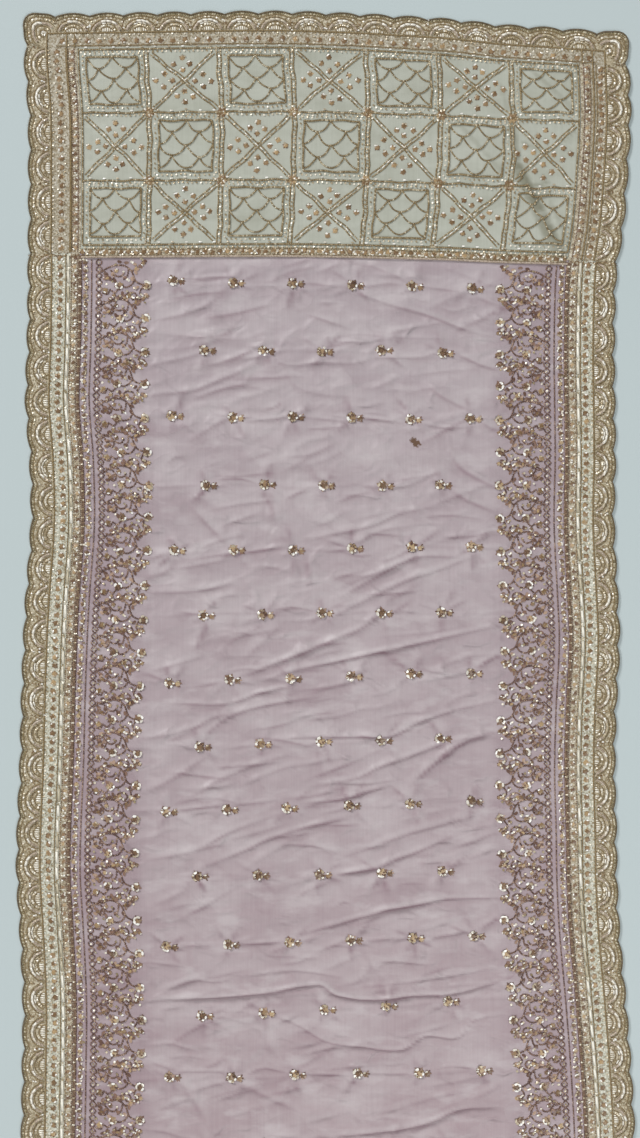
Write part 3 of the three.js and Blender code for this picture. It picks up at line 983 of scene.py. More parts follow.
def declare(cloth: Piece, node: str, flat: tuple[float, float] | None = None,
            details: list[Piece] | None = None) -> list[Piece]:
    """Hide the solid that a piece replaces, and attach the piece and the work sewn on it to the root.

    Args:
        cloth: The piece that replaces a solid.
        node: That solid.
        flat: The size that the cloth is cut to, in metres, or None for a cord; it is not used.
        details: What is sewn on it.

    Returns:
        All of the pieces.
    """
    details = details or []
    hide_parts(node)
    if flat is not None:
        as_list(details)
    for piece in (cloth, *details):
        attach(piece, "root")
    return [cloth, *details]


def spaced(line: Line, pitch: float) -> tuple[Line, Array]:
    """Points at an even pitch along a line.

    Args:
        line: The line's points.
        pitch: The distance between two of them, about.

    Returns:
        The new points, and the heading of the line at each.
    """
    x, down = (np.asarray(part, float) for part in line)
    run = np.concatenate([[0], np.cumsum(np.hypot(np.diff(x), np.diff(down)))])
    count = max(int(round(run[-1] / pitch)), 1)
    at = (np.arange(count) + 0.5) * run[-1] / count
    piece = np.clip(np.searchsorted(run, at, side="right") - 1, 0, len(x) - 2)
    heading = np.arctan2(-(down[piece + 1] - down[piece]), x[piece + 1] - x[piece])
    return (np.interp(at, run, x), np.interp(at, run, down)), heading


# ---- cloth as closed shells ------------------------------------------------------------


def strip_between(a: Array, b: Array, points: Array) -> list[tuple[int, ...]]:
    """Faces between two rows of points, which may have different counts.

    Args:
        a: The first row's indices.
        b: The second row's indices.
        points: Every point.

    Returns:
        The faces, as tuples of indices.
    """
    if len(a) == len(b):
        return [(a[i], a[i + 1], b[i + 1], b[i]) for i in range(len(a) - 1)]
    faces, i, j = [], 0, 0
    place = points.tolist()
    while i < len(a) - 1 or j < len(b) - 1:
        from_a = j == len(b) - 1 or (i < len(a) - 1 and (
            math.dist(place[a[i + 1]], place[b[j]]) <= math.dist(place[a[i]], place[b[j + 1]])))
        if from_a:
            faces.append((a[i], a[i + 1], b[j]))
            i += 1
        else:
            faces.append((a[i], b[j + 1], b[j]))
            j += 1
    return faces


def closed_cloth(name: str, upper: list[Array], lower: list[Array], finishes: list[Finish],
                 zones: list[int] | None = None, crease: Array | None = None) -> Piece:
    """A closed shell of cloth from rows of points on its face and its underside.

    Args:
        name: The object's name.
        upper: The rows of the face, in metres.
        lower: The rows of the underside.
        finishes: The finishes that it uses.
        zones: Which finish each strip between two upper rows takes.
        crease: How dark the net is painted at each point of the upper rows: where it lies double, with
            painted shade, and below zero with painted highlight.

    Returns:
        The new object.
    """
    rows = upper + lower
    points = np.concatenate(rows)
    starts = np.cumsum([0] + [len(row) for row in rows])
    index = [list(range(a, b)) for a, b in zip(starts[:-1], starts[1:])]
    top, under = index[: len(upper)], index[len(upper) :]
    faces: list[tuple[int, ...]] = []
    finish_of: list[int] = []
    for i in range(len(top) - 1):
        strip = strip_between(top[i], top[i + 1], points)
        faces += strip
        finish_of += [zones[i] if zones else 0] * len(strip)
    rest = []
    for i in range(len(under) - 1, 0, -1):
        rest += strip_between(under[i], under[i - 1], points)
    rest += strip_between(under[0], top[0], points)
    rest += strip_between(top[-1], under[-1], points)
    rest += strip_between([row[0] for row in top], [row[0] for row in under], points)
    rest += strip_between([row[-1] for row in under], [row[-1] for row in top], points)
    faces += rest
    finish_of += [0] * len(rest)
    mesh = bpy.data.meshes.new(name)
    mesh.from_pydata(points.tolist(), [], faces)
    a, b, c = (points[[face[k] for face in faces]] for k in range(3))
    if np.einsum("ij,ij->", a, np.cross(b, c)) < 0:
        mesh.flip_normals()
    for finish in finishes:
        mesh.materials.append(finish.make())
    mesh.polygons.foreach_set("material_index", finish_of)
    mesh.polygons.foreach_set("use_smooth", [True] * (len(faces) - len(rest)) + [False] * len(rest))
    if crease is not None:
        values = np.zeros(len(points), np.float32)
        values[: len(crease)] = crease
        mesh.attributes.new("crease", "FLOAT", "POINT").data.foreach_set("value", values)
    mesh.update()
    return in_scene(name, mesh)


# ---- the net body ----------------------------------------------------------------------


class Fold(NamedTuple):
    """A fold between two rows of sprigs, as the solid has it."""

    after: int
    shift: float
    tilt: float
    high: float
    start: float
    end: float
    half: float


class Crease(NamedTuple):
    """A listed crease: its height, half width, how dark it reads, and its path."""

    high: float
    half: float
    dark: float
    path: tuple[tuple[float, float], ...]


class SprigRow(NamedTuple):
    """A row of sprigs: how far down its two ends lie, its first sprig and their pitch."""

    left_down: float
    right_down: float
    first: float
    pitch: float
    count: int

    def down_at(self, share: Array | float) -> Array | float:
        """How far down the row lies, at a share of the way along it."""
        return self.left_down + (self.right_down - self.left_down) * share


FOLDS = tuple(Fold(*row) for row in (
    (0, 4, 36, 4, 0.35, 1, 13), (2, 6, 30, 3, 0.5, 1, 12), (3, -2, -24, 3.5, 0, 0.75, 13),
    (5, 0, -40, 5, 0.1, 1, 14), (6, -2, -30, 4, 0.2, 0.9, 13), (7, 3, -36, 4.5, 0, 0.8, 14),
    (8, -4, -28, 3, 0.3, 1, 12), (9, 2, -40, 5, 0.2, 1, 14), (10, 26, -26, 5.5, 0, 1, 8),
    (11, -3, -22, 3, 0, 0.7, 12), (12, 4, -40, 5, 0.3, 1, 14), (14, 0, 30, 4.5, 0, 0.8, 14),
    (16, 5, -34, 4, 0.2, 1, 13), (19, -4, -26, 5, 0, 1, 14), (21, 2, 36, 3.5, 0.1, 0.8, 12),
    (24, 0, -38, 5, 0.2, 1, 14), (26, -3, 22, 4, 0, 0.9, 13), (29, 4, -30, 4.5, 0.1, 1, 14),
    (31, 0, 34, 4, 0, 0.8, 13), (33, -2, -26, 5, 0.2, 1, 14), (36, 3, 28, 3.5, 0, 1, 12),
))

# Height, half width and darkness, and then x and down of each point of the path.
CREASES = tuple(Crease(*row[:3], tuple(zip(row[3::2], row[4::2]))) for row in (
    (3, 7, 0.6, 60, 535, 122, 556, 193, 575, 264, 601, 335, 618),
    (2.4, 9, 0.55, -339, 730, -249, 720, -201, 701, -154, 682, -116, 663),
    (1.6, 5, 0.35, -334, 673, -287, 663, -235, 651),
    (2, 6, 0.5, -106, 649, -78, 673, -11, 668, 60, 668, 93, 656), (2, 5, 0.5, 93, 658, 207, 656),
    (2.2, 5, 0.6, 240, 644, 293, 668, 335, 680), (2.4, 4, 0.9, 65, 772, 145, 781),
    (1.8, 6, 0.5, 174, 781, 226, 791, 283, 787), (2.2, 4, 0.7, 293, 777, 312, 791, 335, 797),
    (1.6, 5, 0.4, -40, 772, 36, 779), (1.5, 5, 0.4, -159, 781, -73, 772),
    (1.8, 5, 0.5, 198, 715, 226, 734, 274, 758), (2.2, 5, 0.6, 236, 839, 255, 867, 293, 891, 335, 910),
    (1.4, 5, 0.1, -178, 796, -154, 839, -97, 886), (1.4, 7, 0.1, -11, 801, 36, 844, 107, 886),
    (1.2, 4, 0.1, 98, 825, 124, 877), (1.6, 6, 0.4, -330, 589, -249, 570, -211, 549, -192, 535),
    (1.2, 7, 0.2, -334, 611, -249, 618, -154, 623, -97, 601), (1.4, 6, 0.3, 65, 473, 136, 502, 169, 521),
    (1.2, 6, 0.2, 217, 478, 335, 521), (1, 6, 0.2, -2, 620, 65, 613, 131, 618, 250, 620),
    (1.6, 4, 0.45, -273, 516, -197, 506), (1.4, 4, 0.35, -159, 513, -130, 499),
    (1.4, 4, 0.35, -144, 524, -78, 523), (1.6, 4, 0.45, -40, 516, 36, 523),
    (1.6, 4, 0.45, 183, 520, 269, 529), (1.4, 5, 0.3, 283, 535, 335, 556),
    (1.2, 6, 0.2, -87, 651, -54, 715, 84, 737), (1.3, 5, 0.1, -273, 768, -235, 749, -178, 749, -154, 730),
    (2.2, 6, 0.5, -254, 943, -220, 981, -182, 1019), (2, 5, 0.5, -121, 910, -102, 943, -97, 977),
    (1.6, 3, 0.5, -197, 979, -130, 955), (2, 4, 0.6, -40, 1005, 17, 993, 84, 979, 145, 953, 217, 941),
    (1.4, 3, 0.4, -149, 1029, -68, 1015), (2.4, 5, 0.6, 236, 910, 278, 934, 326, 953),
    (3.2, 6, 0.7, 22, 1117, 84, 1081, 141, 1050, 179, 1036, 264, 1038),
    (3, 7, 0.6, 22, 1145, 84, 1114, 155, 1081, 226, 1057, 283, 1034),
    (3.8, 6, 0.9, 98, 1152, 60, 1176, -11, 1205, -59, 1224, -116, 1247, -159, 1266),
    (4.2, 6, 0.95, 331, 1166, 264, 1181, 179, 1200, 84, 1221, 12, 1237, -59, 1252, -116, 1271),
    (1.8, 4, 0.5, -140, 1297, -83, 1286), (1.8, 5, 0.45, -339, 1076, -296, 1062, -289, 1038),
    (2, 10, 0.45, -339, 1105, -249, 1102, -178, 1091), (1.6, 8, 0.4, -292, 1062, -178, 1041),
    (2.4, 5, 0.6, -247, 1214, -230, 1167), (1.8, 5, 0.45, -330, 1254, -235, 1226),
    (1.4, 4, 0.4, -40, 1029, -30, 1072, -35, 1095), (1.6, 4, 0.4, -154, 1231, -87, 1167),
    (1.4, 4, 0.35, -192, 1205, -125, 1167), (1.8, 5, 0.4, 193, 1259, 264, 1228, 331, 1221),
    (2.4, 4, 0.8, 288, 1245, 335, 1219), (1.4, 4, 0.3, 179, 1019, 335, 972),
    (1.4, 4, 0.3, 264, 1015, 335, 986), (1.2, 5, 0.1, -106, 1086, -92, 1129, -49, 1105, -7, 1095),
    (1.2, 5, 0.1, -49, 929, -21, 967, 8, 977), (1.2, 5, 0.1, -154, 1081, -135, 1114, -106, 1138),
    (1.4, 6, 0.3, 107, 1188, 188, 1181, 264, 1167),
    (2.6, 6, 0.7, -301, 1314, -187, 1316, -130, 1297, -68, 1283),
    (2.8, 6, 0.75, -230, 1378, -187, 1342, -116, 1319, -2, 1301),
    (1.8, 6, 0.4, -344, 1383, -287, 1371, -220, 1352), (1.6, 6, 0.35, -59, 1347, 27, 1338, 98, 1314),
    (3, 6, 0.75, -97, 1383, -30, 1379, 84, 1378, 126, 1376, 169, 1354, 226, 1333, 335, 1307),
    (2.2, 7, 0.5, -344, 1485, -296, 1461, -230, 1418),
    (2, 8, 0.4, -273, 1504, -211, 1466, -140, 1433, -59, 1409),
    (1.8, 6, 0.3, -159, 1471, -78, 1437, -11, 1428),
    (3, 8, 0.6, -21, 1471, 60, 1456, 98, 1437, 160, 1414, 226, 1390, 335, 1366),
    (3.4, 5, 0.9, 160, 1471, 207, 1428, 266, 1383), (2.4, 4, 0.8, -282, 1517, -201, 1509),
    (1.8, 4, 0.5, -168, 1508, -97, 1499), (3, 5, 0.9, -49, 1504, 27, 1497, 84, 1480, 122, 1471),
    (1.6, 4, 0.5, 126, 1473, 155, 1494), (1.4, 4, 0.35, 174, 1498, 255, 1492),
    (1.6, 4, 0.4, 288, 1485, 294, 1518), (2.2, 7, 0.5, -344, 1613, -249, 1594, -187, 1561, -92, 1525),
    (2.8, 7, 0.7, -235, 1627, -154, 1594, -116, 1575, -40, 1551, 46, 1528),
    (2.8, 10, 0.6, 27, 1608, 93, 1585, 160, 1561, 226, 1542, 293, 1525),
    (3, 5, 0.85, 8, 1643, 50, 1634, 103, 1625, 131, 1611, 179, 1594, 236, 1568),
    (2.2, 5, 0.7, 245, 1589, 321, 1560),
    (3.2, 6, 0.85, 98, 1706, 155, 1699, 212, 1687, 274, 1684, 335, 1684),
    (1.8, 6, 0.3, -330, 1699, -277, 1675, -254, 1649), (1.6, 5, 0.3, 269, 1611, 335, 1585),
    (1.4, 6, 0.2, -344, 1575, -296, 1554, -268, 1554), (1.4, 4, 0.1, -35, 1566, -16, 1587, 31, 1599),
    (1.4, 5, 0.3, -16, 1390, -7, 1456), (3.8, 6, 0.9, -40, 1751, -2, 1740, 60, 1722, 131, 1703, 207, 1691),
    (1.8, 4, 0.5, -277, 1775, -201, 1772), (2.4, 4, 0.8, -163, 1772, -83, 1767),
    (1.8, 4, 0.45, 74, 1765, 141, 1759), (2, 4, 0.6, 202, 1760, 264, 1748),
    (2.4, 4, 0.8, 293, 1742, 333, 1718), (1.8, 5, 0.5, -344, 1805, -268, 1814),
    (2.2, 7, 0.55, -154, 1832, -59, 1822, 27, 1834),
    (5, 6, 1, -344, 1884, -315, 1878, -201, 1872, -106, 1862, -11, 1848, 17, 1867, 84, 1877, 155, 1870,
     245, 1865, 297, 1851, 335, 1842), (2.2, 5, 0.5, 31, 1851, 65, 1840, 81, 1813),
    (2, 6, 0.45, 65, 1853, 179, 1841, 335, 1814),
    (3, 6, 0.75, -102, 1905, -49, 1927, -2, 1955, 60, 1965, 145, 1972, 188, 1946, 250, 1949, 283, 1915,
     333, 1907), (1.4, 4, 0.3, -211, 1908, -144, 1922), (1.8, 5, 0.4, -334, 1965, -296, 1960, -249, 1974),
    (2, 5, 0.5, -334, 1995, -282, 2012), (1.8, 4, 0.5, -277, 2014, -182, 2012),
    (2, 4, 0.6, -156, 2024, -121, 2007, -73, 2016), (2.2, 4, 0.7, -35, 2018, 46, 2020),
    (1.4, 4, 0.35, 79, 2019, 169, 2017), (1.6, 4, 0.4, 202, 2012, 226, 2004, 288, 2006),
    (1.6, 5, 0.4, -277, 2038, -249, 2074, -230, 2107), (1.6, 5, 0.4, -159, 2036, -116, 2060, -54, 2088),
    (4, 6, 0.95, -2, 2138, 103, 2128, 160, 2119, 202, 2107, 259, 2084, 321, 2081),
    (1.8, 5, 0.5, -344, 2124, -306, 2128, -268, 2140), (1.6, 5, 0.4, 278, 2069, 335, 2036),
    (1.4, 8, 0.2, -116, 1917, -111, 1960, -87, 1993), (1.4, 4, 0.3, 65, 1779, 86, 1813, 74, 1846),
))

SPRIG_ROWS = tuple(SprigRow(*row) for row in (
    (516, 521, -289, 114, 6), (646, 646, -230, 112.8, 5), (772, 772, -287, 113, 6),
    (901, 901, -225, 111.6, 5), (1025, 1018, -285, 112.6, 6), (1146, 1142, -232, 113.4, 5),
    (1275, 1256, -294, 114.5, 6), (1396, 1380, -237, 114.6, 5), (1520, 1501, -302, 116, 6),
    (1643, 1634, -243, 116.7, 5), (1778, 1756, -300, 116.7, 6), (1909, 1881, -232, 116.4, 5),
    (2027, 2011, -294, 118.3, 6),
))


@dataclass
class NetBody(Handiwork):
    """The mauve net: its puckers, folds and creases, its sprigs and its two vine bands."""

    width_left: float = 100.0
    width_right: float = 94.0
    band_columns: int = 9
    field_columns: int = 94
    field_from: float = 0.15
    shown_step: float = 3.0
    hidden_step: float = 20.0
    row_first: float = 517.0
    row_pitch: float = 125.7
    row_count: int = 40
    hem_deep: float = 16.0
    hem_high: float = 1.2
    band_dark: float = 0.3  # how much darker the net is under the vine bands: their thread, with painted shade
    across: Array = field(init=False)
    downs: Array = field(init=False)
    heights: Array = field(init=False)
    doubled_and_painted_light: Array = field(init=False)

    def __post_init__(self) -> None:
        """Lay the grid out and raise every fold and crease in it."""
        band = np.linspace(0, self.field_from, self.band_columns)[:-1]
        band = np.insert(band, 1, RIM / 950)
        middle = np.linspace(self.field_from, 1 - self.field_from, self.field_columns)
        self.across = np.concatenate([band, middle, 1 - band[::-1]])
        self.columns = len(self.across)
        start, end = SEAM_AT + GAP / 2, LENGTH
        shown = np.arange(start, SHOWN_TO, self.shown_step)
        hidden = np.arange(shown[-1] + self.hidden_step, end - 2, self.hidden_step)
        self.downs = np.concatenate([[start, start + RIM], shown[1:], hidden, [end - RIM, end]])
        down, share = np.meshgrid(self.downs, self.across, indexing="ij")
        x = self.x_at(share, down)
        fade = smooth_step(0.02, 0.13, share) * smooth_step(0.02, 0.13, 1 - share)
        fade *= smooth_step(start, start + 25, down)
        rise = np.zeros_like(x)
        self.doubled_and_painted_light = np.zeros_like(x)
        for row in self.every_sprig_row():
            self.raise_pucker(row, x, down, rise)
        for fold in FOLDS:
            self.raise_fold(fold, share, down, rise)
        for crease in (*CREASES, *self.hidden_creases(), *self.star_creases(), *self.fine_creases()):
            self.raise_crease(crease, x, down, rise)
        rise += self.ripples(x, down)
        self.heights = NET_WALL + np.maximum(rise, 0) * fade
        self.heights += self.hem_high * smooth_step(end - self.hem_deep - 2, end - self.hem_deep, down)
        self.doubled_and_painted_light *= fade
        # Darker under the vine bands: their thread, with painted shade.
        for from_edge in (share, 1 - share):
            self.doubled_and_painted_light += self.band_dark * smooth_step(-0.17, -0.12, -from_edge)

    def x_at(self, share: Array, down: Array) -> Array:
        """x at a share of the way across the net."""
        left, right = PLAN.span(down, self.width_left + GAP, self.width_right + GAP)
        return left + (right - left) * share

    def surface(self, x: Array, down: Array) -> Array:
        """How high the net's face lies at any place on it.

        Args:
            x: Across the cloth.
            down: Down the cloth.

        Returns:
            The height of each place.
        """
        left, right = PLAN.span(down, self.width_left + GAP, self.width_right + GAP)
        share = np.clip((x - left) / (right - left), 0, 1)
        column = np.clip(np.interp(share, self.across, np.arange(self.columns)), 0, self.columns - 1.001)
        row = np.clip(np.interp(down, self.downs, np.arange(len(self.downs))), 0, len(self.downs) - 1.001)
        i, j = row.astype(int), column.astype(int)
        u, v = row - i, column - j
        near = self.heights[i, j] * (1 - v) + self.heights[i, j + 1] * v
        far = self.heights[i + 1, j] * (1 - v) + self.heights[i + 1, j + 1] * v
        return near * (1 - u) + far * u

    def every_sprig_row(self) -> list[SprigRow]:
        """The listed rows, and even ones on the rest of the cloth.

        Returns:
            All the rows, from the pallu's end.
        """
        rows = list(SPRIG_ROWS)
        for i in range(len(rows), self.row_count):
            middle = self.row_first + self.row_pitch * i
            slope = 8 * math.sin(i * 1.7)
            first, count = ((-290, 6) if i % 2 == 0 else (-233, 5))
            first += 6 * math.sin(i * 2.1)
            rows.append(SprigRow(middle + slope / 2, middle - slope / 2, first, 115.5, count))
        return rows

    def raise_pucker(self, row: SprigRow, x: Array, down: Array, rise: Array) -> None:
        """Draw the net up along one row of sprigs, more between some of them than others.

        Args:
            row: The row of sprigs.
            x: x of each point of the grid.
            down: How far down each one lies.
            rise: The height added to so far.
        """
        middle = row.down_at((x - row.first) / (row.pitch * (row.count - 1)))
        off = down - middle - 3 * np.sin(x / 47 + row.left_down)
        wave = 0.55 + 0.45 * np.sin(x / 31 + row.left_down * 2.3) * np.cos(x / 83 - row.left_down)
        rise += 1.6 * wave * np.exp(-((off / 5) ** 2))
        strong = 0.5 + 0.5 * math.sin(row.left_down * 1.3)
        # Darker just below the pucker, where the net gathers, with painted shade; painted highlight on its
        # lit side above it.
        self.doubled_and_painted_light += (0.1 + 0.25 * strong) * wave * np.exp(-(((off - 2) / 3) ** 2))
        self.doubled_and_painted_light -= 0.2 * wave * np.exp(-(((off + 4) / 4) ** 2))

    def raise_fold(self, fold: Fold, share: Array, down: Array, rise: Array) -> None:
        """Lift the net along one of the solid's folds.

        Args:
            fold: The fold.
            share: How far across each point of the grid lies.
            down: How far down it lies.
            rise: The height added to so far.
        """
        middle = self.row_first + self.row_pitch * (fold.after + 0.5) + fold.shift + fold.tilt * (share - 0.5)
        ramp = (fold.end - fold.start) * 0.3
        grown = smooth_step(fold.start, fold.start + ramp, share)
        grown = grown * smooth_step(-fold.end, ramp - fold.end, -share)
        off = (down - middle) / fold.half
        shown = down < SHOWN_TO  # there the listed creases say most of it
        rise += np.where(shown, 0.45, 1.0) * fold.high * grown * np.exp(-((off * 1.3) ** 2))
        # Darker along the fold, where the net lies double, with painted shade.
        self.doubled_and_painted_light += np.where(shown, 0, 0.7) * grown * np.exp(-(((down - middle - 2) / 3.5) ** 2))

    def raise_crease(self, crease: Crease, x: Array, down: Array, rise: Array) -> None:
        """Raise one crease, which is highest at its middle and dies out at its ends.

        Args:
            crease: The crease.
            x: x of each point of the grid.
            down: How far down each one lies.
            rise: The height added to so far.
        """
        path = np.array(crease.path, float)
        knots = np.concatenate([[0], np.cumsum(np.hypot(*np.diff(path, axis=0).T))])
        at = np.linspace(0, knots[-1], max(int(knots[-1] / 12), 2))
        line_x, line_down = (read_curve(knots, path[:, k], at) for k in range(2))
        steep = abs(path[-1, 1] - path[0, 1]) / max(knots[-1], 1)
        half = max(crease.half * 0.65, 3.3 + 6.5 * steep)
        reach = 3.5 * half
        rows = np.flatnonzero((self.downs > line_down.min() - reach) & (self.downs < line_down.max() + reach))
        if not len(rows):
            return
        part = slice(rows[0], rows[-1] + 1)
        best, along, side = (np.full(x[part].shape, start) for start in (1e9, 0.0, 0.0))
        for i in range(len(at) - 1):
            dx, dd = line_x[i + 1] - line_x[i], line_down[i + 1] - line_down[i]
            long = math.hypot(dx, dd)
            px, pd = x[part] - line_x[i], down[part] - line_down[i]
            t = np.clip((px * dx + pd * dd) / long**2, 0, 1)
            far = np.hypot(px - t * dx, pd - t * dd)
            nearer = far < best
            best[nearer] = far[nearer]
            along[nearer] = ((i + t) / (len(at) - 1))[nearer]
            side[nearer] = (np.sign(pd * dx - px * dd) * math.copysign(1, dx))[nearer]
        taper = np.sin(math.pi * np.clip(along, 0.02, 0.98)) ** 0.5
        offset = best * side
        slope = np.where(offset > 0, 0.7, 1.5)
        rise[part] += 1.35 * crease.high * taper * np.exp(-((offset / (half * slope)) ** 2))
        # Darker along the line where the net lies double, painted shade in a wider band beside it, and
        # painted highlight on its lit side.
        line = np.exp(-(((offset - 1.2) / max(half * 0.42, 2.0 + 3.0 * steep)) ** 2))
        wide = np.exp(-(((offset - 5) / (half * 1.5)) ** 2))
        lit = np.exp(-(((offset + half * 0.9) / half) ** 2))
        self.doubled_and_painted_light[part] += taper * (crease.dark * (0.95 * line + 0.28 * wide) - 0.16 * crease.high * lit)

    def hidden_creases(self) -> list[Crease]:
        """Creases like the listed ones, for the rest of the cloth.

        Returns:
            The creases.
        """
        chance = np.random.default_rng(SEED)
        made = []
        for down in np.arange(SHOWN_TO, LENGTH - 60, 48):
            start = chance.uniform(-340, 140)
            long = chance.uniform(80, 340)
            tilt = chance.uniform(-0.35, 0.2)
            steps = max(int(long / 90), 2)
            path = tuple((start + long * k / steps, down + tilt * long * k / steps + chance.uniform(-8, 8))
                         for k in range(steps + 1))
            high, half, dark = (chance.uniform(*ends) for ends in ((1.4, 3.8), (7, 11), (0.3, 0.9)))
            made.append(Crease(high, half, dark, path))
        return made

    @staticmethod
    def fine_creases() -> list[Crease]:
        """The many fine creases between the listed ones, most of them rising to the right.

        Returns:
            The creases.
        """
        chance = np.random.default_rng(SEED + 8)
        made = []
        for down in np.linspace(SEAM_AT + 30, SHOWN_TO - 40, 230):
            start, long = chance.uniform(-330, 260), chance.uniform(30, 130)
            rise = chance.normal(0.22, 0.2) * long
            bend = chance.normal(0, 4)
            path = ((start, down), (start + long / 2, down - rise * 0.5 + bend), (start + long, down - rise))
            high, half, dark = (chance.uniform(*ends) for ends in ((0.7, 2.0), (3.5, 6.5), (0.1, 0.6)))
            made.append(Crease(high, half, dark, path))
        return made

    def star_creases(self) -> list[Crease]:
        """The short creases that each sprig's stitches draw in the net around it.

        Returns:
            The creases.
        """
        chance = np.random.default_rng(SEED + 7)
        made = []
        for row in self.every_sprig_row():
            for x in row.first + row.pitch * np.arange(row.count):
                down = row.down_at((x - row.first) / (row.pitch * (row.count - 1)))
                if down > SHOWN_TO:
                    break
                for angle in chance.choice([-2.6, -2.0, -1.2, -0.5, 0.5, 1.1, 2.0, 2.7], 4, replace=False):
                    turn = angle + chance.normal(0, 0.25)
                    near, far = 9.0, chance.uniform(22, 52)
                    path = tuple((x + r * math.cos(turn), down - r * math.sin(turn)) for r in (near, far))
                    made.append(Crease(chance.uniform(1.0, 2.2), 3.4, chance.uniform(0.2, 0.6), path))
        return made

    @staticmethod
    def ripples(x: Array, down: Array) -> Array:
        """The low uneven waves of cloth that has been folded away.

        Args:
            x: x of each point of the grid.
            down: How far down each one lies.

        Returns:
            How high each point is raised.
        """
        chance = np.random.default_rng(SEED + 1)
        total = np.zeros_like(x)
        for size in (150, 110, 84, 60):
            for _ in range(3):
                angle = chance.normal(math.pi / 2, 0.5)
                phase = chance.uniform(0, math.tau)
                bend = 0.6 * np.sin(x / 160 + phase * 3) + 0.5 * np.sin(down / 190 - phase)
                wave = np.sin((x * math.cos(angle) + down * math.sin(angle)) * math.tau / size + phase + bend)
                total += wave * size / 700
        return 0.8 + np.maximum(1.5 * total, -0.8)

    def build(self) -> Piece:
        """The net itself, closed over a flat underside.

        Returns:
            The net as one object.
        """
        down, share = np.meshgrid(self.downs, self.across, indexing="ij")
        kept = [*range(0, len(self.downs) - 1, 12), len(self.downs) - 1]
        columns = [*range(0, self.columns - 1, 8), self.columns - 1]
        x = self.x_at(share, down)
        upper = list(PLAN.place(x, down, self.heights))
        lower = [PLAN.place(x[i, columns], down[i, columns], 0) for i in kept]
        crease = np.clip(self.doubled_and_painted_light, -1, 1).ravel()
        return closed_cloth("net_body_cloth", upper, lower, [MAUVE_NET], crease=crease)

    def sprigs(self) -> Piece:
        """The sprigs: a flower with bright petals, and a smaller one beside it.

        Returns:
            All of them as one object.
        """
        self.begin(SEED + 2)
        for row in self.every_sprig_row():
            for k in range(row.count):
                x = row.first + row.pitch * k + self.chance.normal(0, 1)
                self.sprig(x, row.down_at(k / (row.count - 1)) + self.chance.normal(0, 1.2))
        return self.sew("net_sprigs")

    def sprig(self, x: float, down: float) -> None:
        """One sprig, its flower at x and down.

        Args:
            x: The flower's middle, across the cloth.
            down: Its middle, down the cloth.
        """
        middle = x - 3
        self.flowers(middle, down, 10.6, Bit.GOLD_BLOOM, 3, 1.9)
        spin = self.chance.uniform(0, math.tau, 7)
        self.lay(Bit.BROWN, *around(middle, down, 4.5, spin), (4.2, 3.0, 2.2), spin, 2.6)
        self.lay(Bit.GOLD, *around(middle, down, 8, spin), (4.6, 3.2, 2.2), spin, 2.2)
        low = self.chance.normal(4.9, 0.5) + np.array([0.0, 0.9])
        self.lay(Bit.PETAL, *around(middle, down, 8, low), (6.0, 4.4, 6), low + math.pi / 2, 2.4)
        self.flowers(x + 13, down + 2, 6.6, Bit.GOLD_BLOOM, 1, 1.7)
        leaf_x, leaf_down = x + np.array([18.5, 16.0, 16.5]), down + np.array([1.0, 6.0, -3.5])
        self.lay(Bit.LEAF, leaf_x, leaf_down, (5.5, 3.0, 5), np.array([0.1, -0.9, 0.8]), 0.8)
        self.lay(Bit.BROWN, x + 7.0, down + 1.0, (5.0, 2.2, 1.8), -0.2)

    def dress(self) -> list[Piece]:
        """Returns:
            The pieces.
        """
        cloth, sprigs = self.build(), self.sprigs()
        left, right = VineBand(Side.LEFT, self.width_left, self), VineBand(Side.RIGHT, self.width_right, self)
        return declare(cloth, "net_body", (0.955, 5.04), [sprigs, left.build(), right.build()])


# ---- the vine band ---------------------------------------------------------------------


# The stems, curls and tendrils of one repeat. The last three are left out past what is shown.
VINE_LINES = (
    ((40, -25), (52, -33), (69, -38), (86, -36), (98, -26), (105, -8), (114, -2), (122, 0)),
    ((104, -9), (96, 1), (86, 4), (79, 1)),
    ((98, -26), (108, -33), (118, -39), (126, -43)),
    ((75, 4), (66, 14), (57, 9), (52, 17), (42, 14)),
    ((80, 26), (92, 15), (104, 15), (108, 23), (101, 28), (96, 22)),
    ((122, 0), (114, 12), (118, 20), (128, 18)),
    ((46, -27), (56, -10), (64, -14), (62, -22)),
    ((58, -29), (68, -18), (78, -17), (84, -24)),
    ((44, 30), (54, 34), (62, 30), (70, 33)),
    ((92, -30), (90, -18), (82, -10)),
)


